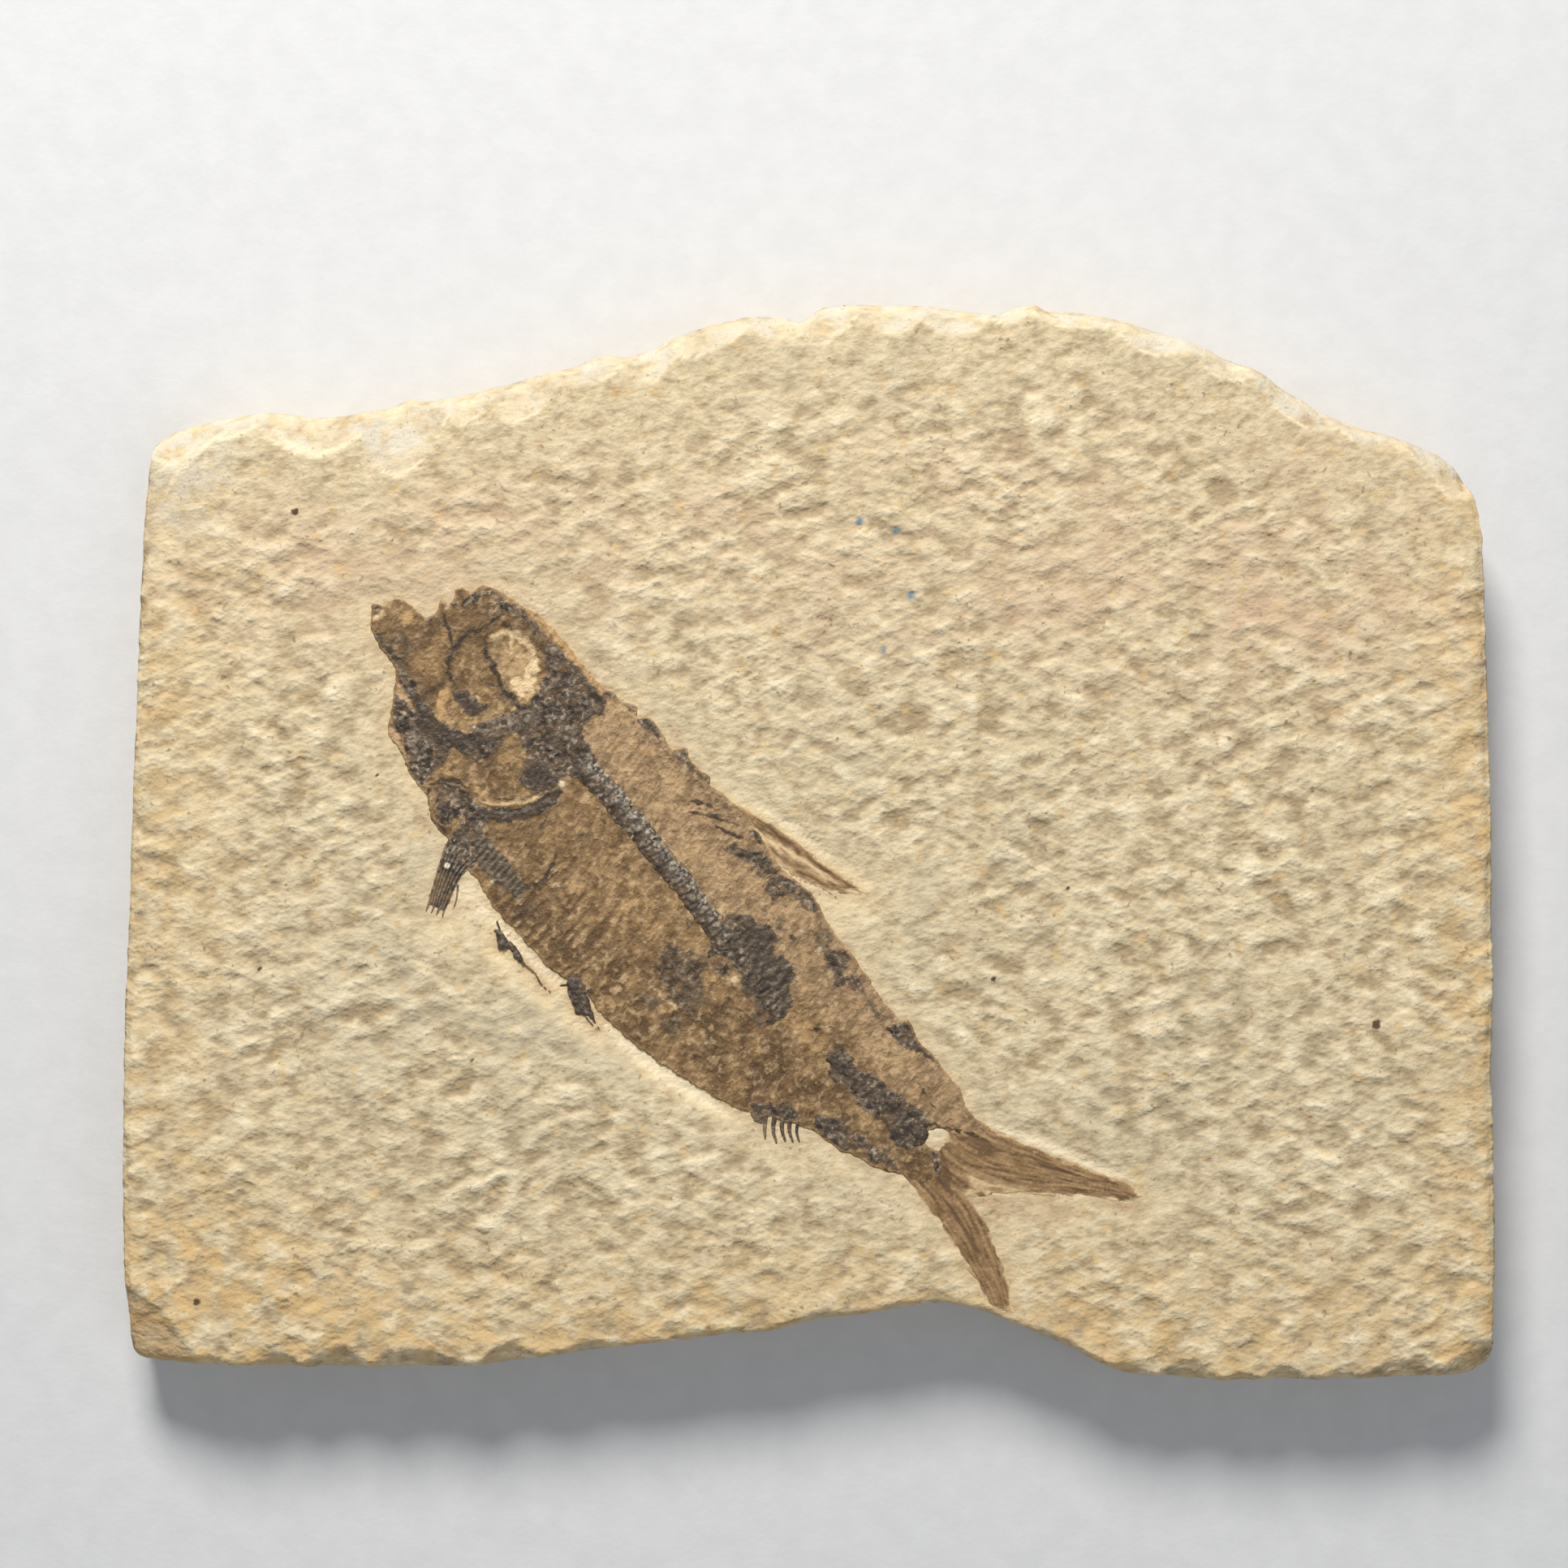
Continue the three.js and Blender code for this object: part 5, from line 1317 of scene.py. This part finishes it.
def darkBoneFinish():
    s, tone = fossil, tonesOf(fossil)
    f = Finish("darkBone", s["boneRoughness"], s["boneSpecular"])
    color = boneColor(f, tone, f.mask("smooth"))
    color = f.cover(color, tone["litBone"], f.mask("lit"), f.step(f.noise(0.36, 3, 0.6), 0.44, 0.62), 0.95)
    color = f.cover(color, tone["blackBone"], f.mask("joint"), 0.7)
    color = f.cover(color, tone["white"], f.mask("grains"))
    worn = f.step(f.noise(0.6, 2, 0.5, stretch=2, turn=20), 0.3, 0.6)
    color = f.cover(color, tone["finBrown"], f.mask("faded"), worn, 0.85)
    fine = f.noise(0.3, 3, 0.6)
    rough = f.mix(f.step(fine, 0.3, 0.7), [0.4] * 3 + [1], [0.62] * 3 + [1])
    return f.done(color, f.bump(fine, s["boneDepth"]), rough)


# fins: a thin stain with fine rays that run from root to tip

def between(x, y, upper, lower):
    # 0 on the upper line to 1 on the lower one, and how far along
    toUpper, along = lineDistance(x, y, smoothLine(upper))
    toLower, _ = lineDistance(x, y, smoothLine(lower))
    return toUpper / np.maximum(toUpper + toLower, 1e-6), along


def strokesEdge(x, y, drawn):
    # loose rays: thin tapering strokes, each its points and width
    found = np.full(x.shape, 9.0)
    for line, width in drawn:
        away, along = lineDistance(x, y, smoothLine(line))
        found = np.minimum(found, away - width / 2 * np.sqrt(np.clip(1.15 - along, 0.12, 1)))
    return found


def finFibres(fin, x, y):
    # fine lengthwise fibres, from -1 to 1, and where each point lies across and along the fin
    across, along = between(x, y, fin["upper"], fin.get("guide", fin["lower"]))
    u, v = across * fin["rays"], along * fin["wander"]
    if "crisp" in fin:
        fibres = 0.8 * np.cos(2 * math.pi * (u + 0.2 * lumps(u, v, 2, fin["seed"]))) + 0.2
    else:
        fibres = 0.75 * lumps(u, v, 1.0, fin["seed"]) + 0.4 * lumps(u * 2.1, v * 1.6, 1.0, fin["seed"] + 1)
    return fibres, across, along


def finHeight(fin):
    def height(x, y, away):
        fibres = finFibres(fin, x, y)[0]
        z = fin["web"] - fin.get("rimDrop", 0) * ramp(away, -0.4, -0.05)
        z = z + fin["rise"] * (0.5 + fibres) * ramp(-away, -0.02, 0.3)
        return np.minimum(z + 0.02 * lumps(x, y, 0.5, fin["seed"] + 2, 2), faceZ + 0.1)
    return height


def finMarks(fin):
    def marks(x, y, away):
        fibres, _, along = finFibres(fin, x, y)
        wx, wy = x + 0.2 * lumps(x, y, 0.9, 164), y + 0.2 * lumps(x, y, 0.9, 165)
        band = patches(wx, wy, fin["band"], 0.4)
        dark = anyOf(np.zeros(x.shape), *[patchMask(wx, wy, outline, 0.25) for outline in fin["dark"]])
        turns = along * fin["segments"] + 0.3 * lumps(x, y, 1, fin["seed"] + 3)
        cross = ramp(0.5 + 0.5 * np.cos(2 * math.pi * turns), 0.8, 1)
        return {"ray": np.clip(0.5 + 0.8 * fibres, 0, 1), "segment": cross, "band": np.clip(band, 0, 1),
                "bone": dark, "faded": 1 - band, "rim": ramp(away, -0.36, -0.02)}
    return marks


def finEdge(fin):
    outline = np.vstack([smoothLine(fin["upper"]), smoothLine(fin["lower"])[::-1]])

    def edge(x, y):
        rough = fin["ragged"] * lumps(x, y, 0.42, fin["seed"] + 4, 2, 3.2, fin["lean"])
        loose = strokesEdge(x, y, fin["strokes"]) + 0.3 * rough
        found = np.minimum(outlineDistance(x, y, outline) + rough, loose)
        if "onSlab" in fin:  # how far it stays inside the slab's lower edge
            found = np.maximum(found, fin["onSlab"] - lineDistance(*toSlab(x, y), lowerEdge)[0])
        return found
    return edge


# each fin's leading and trailing lines, stained bands (strength and outline), dark bones and loose rays
dorsalFin = {
    "low": (31, 6.2), "high": (49.6, 12.4), "step": 0.09, "bottom": 8.93, "web": 9.18, "rise": 0.07,
    "rays": 6, "wander": 9, "segments": 30, "seed": 171, "rimDrop": 0.05, "ragged": 0.16, "lean": 12,
    "upper": [
        (32.4, 7.8), (34, 8.4), (36, 9), (38, 9.5), (40, 9.8), (43, 10.2), (45, 10.6), (46.5, 10.9),
        (47.6, 11.2), (48.4, 11.5),
    ],
    "lower": [
        (32.6, 7.2), (35, 7.3), (37.4, 7.4), (39.4, 7.1), (41.6, 7.1), (43.6, 7.8), (45.2, 8.6),
        (46.4, 9.5), (47.4, 10.2), (48.4, 11),
    ],
    "band": [
        (1.0, [(32.4, 7.2), (34, 8.4), (38, 9.5), (43, 10.2), (46.8, 10.9), (46.4, 10.1), (42, 9.4),
         (38, 8.3), (35, 7.4)]),
        (0.55, [(44, 9.8), (46, 10.9), (48.4, 11.4), (48, 10.7), (46.5, 10.2)]),
        (0.9, [(38, 7.5), (41, 8.2), (44, 8.9), (46.4, 9.9), (45.8, 9), (44, 8.2), (41, 7.6),
         (38.6, 7.2)]),
        (0.7, [(39.4, 8.2), (42, 8.8), (45.4, 9.4), (42.4, 8.6)]),
        (0.6, [(40.6, 7.2), (42.6, 7.7), (44, 8), (42.4, 7.4)]),
    ],
    "dark": [
        [(35.6, 8.5), (38, 9.1), (41, 9.5), (41, 9.2), (38, 8.7)],
        [(45.4, 10.3), (46.6, 10.7), (47.2, 10.9), (46.6, 10.3)],
        [(41, 9.6), (43.6, 10), (45.4, 10.4), (44, 9.8)],
    ],
    "strokes": [
        ([(44, 8.4), (45.4, 8.7), (46.6, 8.9)], 0.22), ([(43, 7.75), (44.4, 7.95), (45.4, 7.95)], 0.2),
        ([(44, 10.3), (45.4, 10.8), (46.2, 11.2)], 0.16), ([(46.2, 10), (47.2, 10.1), (48.4, 10.3)], 0.2),
    ],
}
pectoralFin = {
    "low": (15.6, -20.6), "high": (22.6, -12.4), "step": 0.07, "bottom": 8.93, "web": 9.19, "rise": 0.12,
    "rays": 7, "wander": 2, "segments": 12, "seed": 181, "crisp": True, "ragged": 0.07, "lean": 0,
    "upper": [(16.7, -13.2), (17.2, -14.6), (17.8, -15.7), (18.5, -17), (19.3, -18.4), (20, -19.4)],
    "lower": [(20.6, -13), (20.3, -14.4), (20.3, -15.4), (20.7, -16.6), (21.2, -17.8), (21.6, -18.8)],
    "band": [
        (1.0, [(16, -13), (17, -15), (18.4, -17.6), (20, -19), (21.6, -18.2), (20.5, -15.5),
         (20.8, -13)]),
    ],
    "dark": [],
    "strokes": [
        ([(19.2, -17.6), (19.9, -19.1), (20.3, -20)], 0.36),
        ([(19.8, -17.6), (20.5, -19.1), (20.8, -19.8)], 0.34),
        ([(20.3, -17.5), (21, -19), (21.3, -19.6)], 0.32),
        ([(20.8, -17.4), (21.5, -18.8), (21.8, -19.3)], 0.28),
        ([(20.7, -16.2), (21.6, -17.3), (22.1, -18.3)], 0.18),
    ],
}
analFin = {
    "low": (54.2, -12.6), "high": (61.6, -7.4), "step": 0.07, "bottom": 8.93, "web": 9.2, "rise": 0.08,
    "rays": 3, "wander": 2, "segments": 6, "seed": 191, "ragged": 0.08, "lean": 0,
    "upper": [(54.9, -9.6), (55.4, -11.1), (56.2, -11.5)],
    "lower": [(56.2, -9.2), (56.5, -10.2), (56.9, -11.2)],
    "band": [(1.0, [(54.5, -9), (56, -12), (59.6, -12), (60.4, -10), (59, -7.6)])],
    "dark": [],
    "strokes": [
        ([(56.3, -9.4), (56.8, -10.5), (57.4, -11.2), (58.2, -11.9)], 0.5),
        ([(57, -9.2), (57.6, -10.2), (58.3, -10.9), (59.2, -11.4)], 0.52),
        ([(57.8, -9), (58.3, -9.8), (58.9, -10.3), (59.7, -10.7)], 0.5),
        ([(58.4, -8.7), (58.9, -9.4), (59.5, -9.9), (60.2, -10.2)], 0.46),
        ([(59.1, -8.4), (59.6, -9.1), (60.1, -9.5), (60.7, -9.8)], 0.36),
    ],
}
upperLobe = {
    "low": (67.6, -3.2), "high": (89.6, 12), "step": 0.11, "bottom": 8.93, "web": 9.18, "rise": 0.08,
    "rays": 14, "wander": 8, "segments": 30, "seed": 201, "rimDrop": 0.05, "ragged": 0.26, "lean": 30,
    "upper": [
        (69.2, 3.9), (71.2, 3.9), (73, 4.5), (75, 5.3), (77, 6.1), (79, 7), (81, 7.9), (83, 8.9),
        (84.6, 9.7), (86, 10.1), (87, 10.2),
    ],
    # the rays fan out between the upper line and this one
    "guide": [(66, -2.4), (70, -2.2), (74, -1.6), (77.4, 0.3), (80.6, 3.4), (84.5, 7.2), (87, 9)],
    "lower": [
        (69.8, 1.2), (70.3, 0.5), (70.3, -0.7), (70.9, -1.7), (72.2, -2.4), (74, -2.7), (75.4, -2.2),
        (76.4, -1.1), (77.4, 0.3), (78.8, 1.8), (80.6, 3.4), (82.5, 5.3), (84.5, 7.2), (85.8, 8), (87, 9),
    ],
    "band": [
        (1.0, [(69, 4), (73, 4.6), (77, 6.2), (81, 8), (85, 10), (86.8, 9.6), (85, 7.8), (82.5, 5.7),
         (79.6, 3.3), (76.6, 1.3), (74, -0.2), (71.4, -0.6), (70, 0.8)]),
        (0.85, [(70, 0.5), (73, 0), (74.8, -0.9), (75, -2.6), (72, -3), (70, -1)]),
        (0.3, [(71, -0.4), (72.6, -2.6), (75.6, -2), (77, 0.2), (80, 3), (82.6, 5.4), (80, 4.4),
         (75, 2)]),
    ],
    "dark": [
        [(70.2, -1), (70.7, -0.6), (71.9, -1), (73.2, -1.9), (74.2, -2.7), (72.6, -2.6), (71.2, -2.1)],
        [(70, 1), (71.4, 2), (72.4, 3), (74, 3.3), (75.4, 3.9), (74, 2.7), (72.4, 2.2), (71, 1.2)],
        [(84.4, 8), (86, 9), (86.6, 8.9), (85.4, 8.1)],
        [(76.4, 4.6), (79, 6), (81.6, 7.2), (81.4, 6.8), (78.4, 5.2)],
        [(75.8, -1.2), (78, -1.1), (78, -0.6), (75.8, -0.7)],
        [(76.8, -0.4), (79.8, -0.3), (79.8, 0.1), (76.8, 0)],
    ],
    "strokes": [
        ([(75.2, -1.5), (77.4, -1.1)], 0.3), ([(76.9, -0.5), (78.2, -0.8), (79, -1.1)], 0.24),
        ([(77.6, 0.3), (78.8, -0.3), (79.8, -0.8)], 0.22), ([(80.6, 2.9), (82, 3.9), (83.2, 4.9)], 0.24),
        ([(86, 9.8), (87.4, 10.4), (88.4, 10.9)], 0.24), ([(85, 7.4), (86.4, 8), (87.6, 8.7)], 0.22),
    ],
}
lowerLobe = {
    "low": (67.6, -9.4), "high": (89.2, -0.2), "step": 0.11, "bottom": 8.93, "web": 9.18, "rise": 0.08,
    "rays": 10, "wander": 7, "segments": 30, "seed": 211, "rimDrop": 0.05, "ragged": 0.24, "lean": -22,
    "onSlab": 0.8,
    "upper": [
        (69.4, -1.3), (70.4, -0.7), (72, -1.3), (73.4, -1.6), (75.6, -1.8), (78.2, -2.3), (80, -2.9),
        (81.6, -3.6), (83.4, -4.5), (84.9, -5.4), (86.6, -6.4),
    ],
    "lower": [
        (69, -4.9), (71, -5.1), (72.5, -5.25), (75, -5.5), (76.9, -5.9), (80.1, -6.5), (82.9, -7.2),
        (85.6, -8.2),
    ],
    "band": [
        (1.0, [(69, -1), (71, -0.6), (76, -1.8), (80, -2.8), (83, -4.3), (85.6, -6), (85, -7.6),
         (81, -6.7), (77, -5.8), (73, -5.2), (69, -5)]),
        (0.5, [(76, -5), (80, -6.2), (84, -7.5), (87, -8), (86, -6.6), (82, -5.4)]),
    ],
    "dark": [
        [(69.6, -1.2), (71.2, -1.3), (73, -2), (74.6, -3), (73, -3), (71.4, -2.6), (70.2, -2.1)],
        [(72, -3.6), (76, -4.2), (80, -5), (80, -4.6), (76, -3.8)],
    ],
    "strokes": [([(70.2, -4.8), (71.6, -5.2), (73.4, -5.4)], 0.24)],
}
dorsalEdge, pectoralEdge, analEdge = finEdge(dorsalFin), finEdge(pectoralFin), finEdge(analFin)
upperLobeEdge, lowerLobeEdge = finEdge(upperLobe), finEdge(lowerLobe)


def finRayFinish():
    s, tone = fossil, tonesOf(fossil)
    f = Finish("finRay", s["finRoughness"], s["finSpecular"])
    cloud = f.noise(1.6, 3, 0.6)
    fine = f.noise(0.4, 3, 0.6)
    ray = f.mask("ray")
    color = f.mix(f.step(cloud, 0.36, 0.64), tone["brown"], tone["rayTan"])
    color = f.cover(color, tone["darkBrown"], f.step(ray, 0.55, 0.1), 0.75)
    color = f.cover(color, tone["tan"], f.step(ray, 0.55, 0.95), 0.55)
    color = f.cover(color, tone["darkBrown"], f.mask("segment"), 0.2)
    color = f.cover(color, tone["granule"], f.step(fine, 0.5, 0.72), 0.3)
    web = f.mix(f.step(ray, 0.1, 0.6), tone["webDark"], tone["webLight"])
    web = f.cover(web, tone["webPale"], f.step(cloud, 0.5, 0.68), 0.7)
    ragged = f.times(f.minus(fine, 0.5), 0.8)
    color = f.mix(f.step(f.plus(f.mask("band"), ragged), 0, 0.8), web, color)
    color = f.cover(color, tone["frayed"], f.step(f.plus(f.mask("rim"), ragged), 0.1, 0.9), 0.65)
    color = f.cover(color, tone["rootBrown"], f.step(f.plus(f.mask("bone"), ragged), 0.25, 0.8), 0.7)
    return f.done(color, f.bump(fine, s["finDepth"]))


def pectoralMarks(fin):
    def marks(x, y, away):
        found = finMarks(fin)(x, y, away)
        found["joint"] = (1 - found["ray"]) * ramp(y, -14.2, -15.6)
        found["faded"] = ramp(y, -15.6, -17.6) * (0.4 + 0.6 * found["ray"])
        found["grains"] = ramp(np.hypot(x - 18.6, y + 15.6), 0.34, 0.22)
        found["lit"] = np.clip(ramp(y, -16, -14.4) * 0.5 + 0.3 * found["ray"] * ramp(y, -14.4, -16), 0, 1)
        return found
    return marks


def analMarks(fin):
    def marks(x, y, away):
        found = finMarks(fin)(x, y, away)
        found["faded"] = 0.7 * ramp(y, -10, -11.6)
        return found
    return marks


# loose belly scutes: an outline and thin splinters

frontScute = {
    "low": (25, -18), "high": (35, -15.4), "step": 0.07, "bottom": 8.93, "seed": 221,
    "outline": [
        (26.2, -16.7), (26.5, -16.2), (27.6, -16.4), (28.5, -16.2), (29.7, -16.5), (30.6, -16.9),
        (29.5, -17.1), (28.5, -16.9), (27.7, -17.6), (27, -17.1),
    ],
    "strokes": [
        ([(30.2, -16.9), (31.6, -16.7), (32.8, -17), (34, -16.9)], 0.16),
        ([(26.4, -16.2), (25.7, -15.9)], 0.2),
    ],
}
rearScute = {
    "low": (33.6, -17), "high": (40.2, -13.6), "step": 0.07, "bottom": 8.93, "seed": 231,
    "outline": [
        (34.2, -14.7), (34.9, -14.1), (36, -14.4), (37.2, -14.8), (38.3, -15.4), (39.7, -16),
        (38.2, -15.9), (37.2, -16.6), (36.1, -16.1), (35, -15.6),
    ],
    "strokes": [
        ([(36.4, -15.7), (38, -16.1), (39.6, -16.2)], 0.16), ([(34.8, -15), (34.2, -15.9)], 0.22),
    ],
}


def scuteEdge(scute):
    outline = smoothLine(scute["outline"], closed=True)

    def edge(x, y):
        rough = 0.12 * lumps(x, y, 0.5, scute["seed"], 2)
        loose = strokesEdge(x, y, scute["strokes"]) + 0.4 * rough
        return np.minimum(outlineDistance(x, y, outline) + rough, loose)
    return edge


def scuteHeight(scute):
    def height(x, y, away):
        dome = 0.14 * ramp(-away, 0, 0.4) + 0.08 * lumps(x, y, 0.45, scute["seed"] + 1, 2)
        return bedZ + 0.2 + np.maximum(dome, 0)
    return height


def scuteMarks(x, y, away):
    thread = ramp(x, 30.4, 31) * ramp(x, 34.2, 34)
    lit = 0.25 * ramp(lumps(x, y, 0.8, 241), 0, 0.5)
    return {"lit": lit, "smooth": np.full(x.shape, 0.8), "faded": thread}


frontScuteEdge, rearScuteEdge = scuteEdge(frontScute), scuteEdge(rearScute)

# everything together

limestoneMaterial, filmMaterial = limestoneFinish(), scaleFilmFinish()
boneMaterial, rayMaterial = darkBoneFinish(), finRayFinish()
print("materials made")

slabMesh(limestoneMaterial)
reliefPiece("fishBody", fishBody, bodyEdge, bodyHeight, bodyMarks, filmMaterial, "scale_film", "fish_body")
for name, spine, node in (("frontBackbone", frontBackbone, "backbone_front"),
                          ("rearBackbone", rearBackbone, "backbone_rear")):
    reliefPiece(name, spine, spineEdge(spine), spineHeight(spine), spineMarks(spine), boneMaterial,
                "dark_bone", node)
for name, fin, edge, marks, material, slotName, node in (
    ("dorsalFin", dorsalFin, dorsalEdge, finMarks, rayMaterial, "fin_ray", "dorsal_fin"),
    ("pectoralFin", pectoralFin, pectoralEdge, pectoralMarks, boneMaterial, "dark_bone", "pectoral_fin"),
    ("analFin", analFin, analEdge, analMarks, boneMaterial, "dark_bone", "anal_fin"),
    ("upperTailLobe", upperLobe, upperLobeEdge, finMarks, rayMaterial, "fin_ray", "tail_upper_lobe"),
    ("lowerTailLobe", lowerLobe, lowerLobeEdge, finMarks, rayMaterial, "fin_ray", "tail_lower_lobe"),
):
    reliefPiece(name, fin, edge, finHeight(fin), marks(fin), material, slotName, node)
for name, scute, edge, node in (
    ("frontBellyScute", frontScute, frontScuteEdge, "belly_scute_front"),
    ("rearBellyScute", rearScute, rearScuteEdge, "belly_scute_rear"),
):
    reliefPiece(name, scute, edge, scuteHeight(scute), scuteMarks, boneMaterial, "dark_bone", node)

# the table it lies on, the light and the camera

studio = {
    "floor": (214, 215, 217), "floorSize": 3.0, "background": (226, 230, 236), "backgroundStrength": 0.25,
    "lookAt": (-2.35, 5.5), "frameWidth": 148.6, "cameraDistance": 350.0, "sensor": 36.0,
    # each light's place and size in metres, its power in watts and its colour
    "lights": {
        "keyLight": ((-0.10, 0.47, 0.40), 0.22, 4.7, (1.0, 0.97, 0.92)),
        "fillLight": ((0.3, -0.35, 0.75), 0.9, 1.6, (0.94, 0.97, 1.0)),
    },
}


def addFloor():
    bpy.ops.mesh.primitive_plane_add(size=studio["floorSize"], location=(0, 0, 0))
    floor = bpy.context.object
    floor.name = "floor"
    f = Finish("floorPaper", 0.85, 0.2)
    paper, lighter = srgb(*studio["floor"]), srgb(*[c + 4 for c in studio["floor"]])
    color = f.mix(f.step(f.noise(3, 3, 0.5), 0.3, 0.7), paper, lighter)
    floor.data.materials.append(f.done(color, f.bump(f.noise(0.8, 3, 0.6), 0.03)))


def addLight(name, place, size, watts, color):
    light = bpy.data.lights.new(name, "AREA")
    light.shape, light.size, light.energy, light.color = "DISK", size, watts, color
    lamp = bpy.data.objects.new(name, light)
    bpy.context.scene.collection.objects.link(lamp)
    lamp.location = place
    aim = bpy.data.objects["floor"].location - lamp.location
    lamp.rotation_euler = aim.to_track_quat("-Z", "Y").to_euler()


def addCamera():
    data = bpy.data.cameras.new("camera")
    data.sensor_width = studio["sensor"]
    data.lens = studio["sensor"] * studio["cameraDistance"] / studio["frameWidth"]
    data.clip_start = 0.01
    camera = bpy.data.objects.new("camera", data)
    height = (faceZ + studio["cameraDistance"]) * mm
    camera.location = (studio["lookAt"][0] * mm, studio["lookAt"][1] * mm, height)
    bpy.context.scene.collection.objects.link(camera)
    bpy.context.scene.camera = camera


addFloor()
for name, settings in studio["lights"].items():
    addLight(name, *settings)
addCamera()
world = bpy.data.worlds.new("studio")
world.use_nodes = True
world.node_tree.nodes["Background"].inputs["Color"].default_value = srgb(*studio["background"])
world.node_tree.nodes["Background"].inputs["Strength"].default_value = studio["backgroundStrength"]
bpy.context.scene.world = world
bpy.context.scene.view_settings.view_transform = "Standard"
print("floor, lights and camera set")
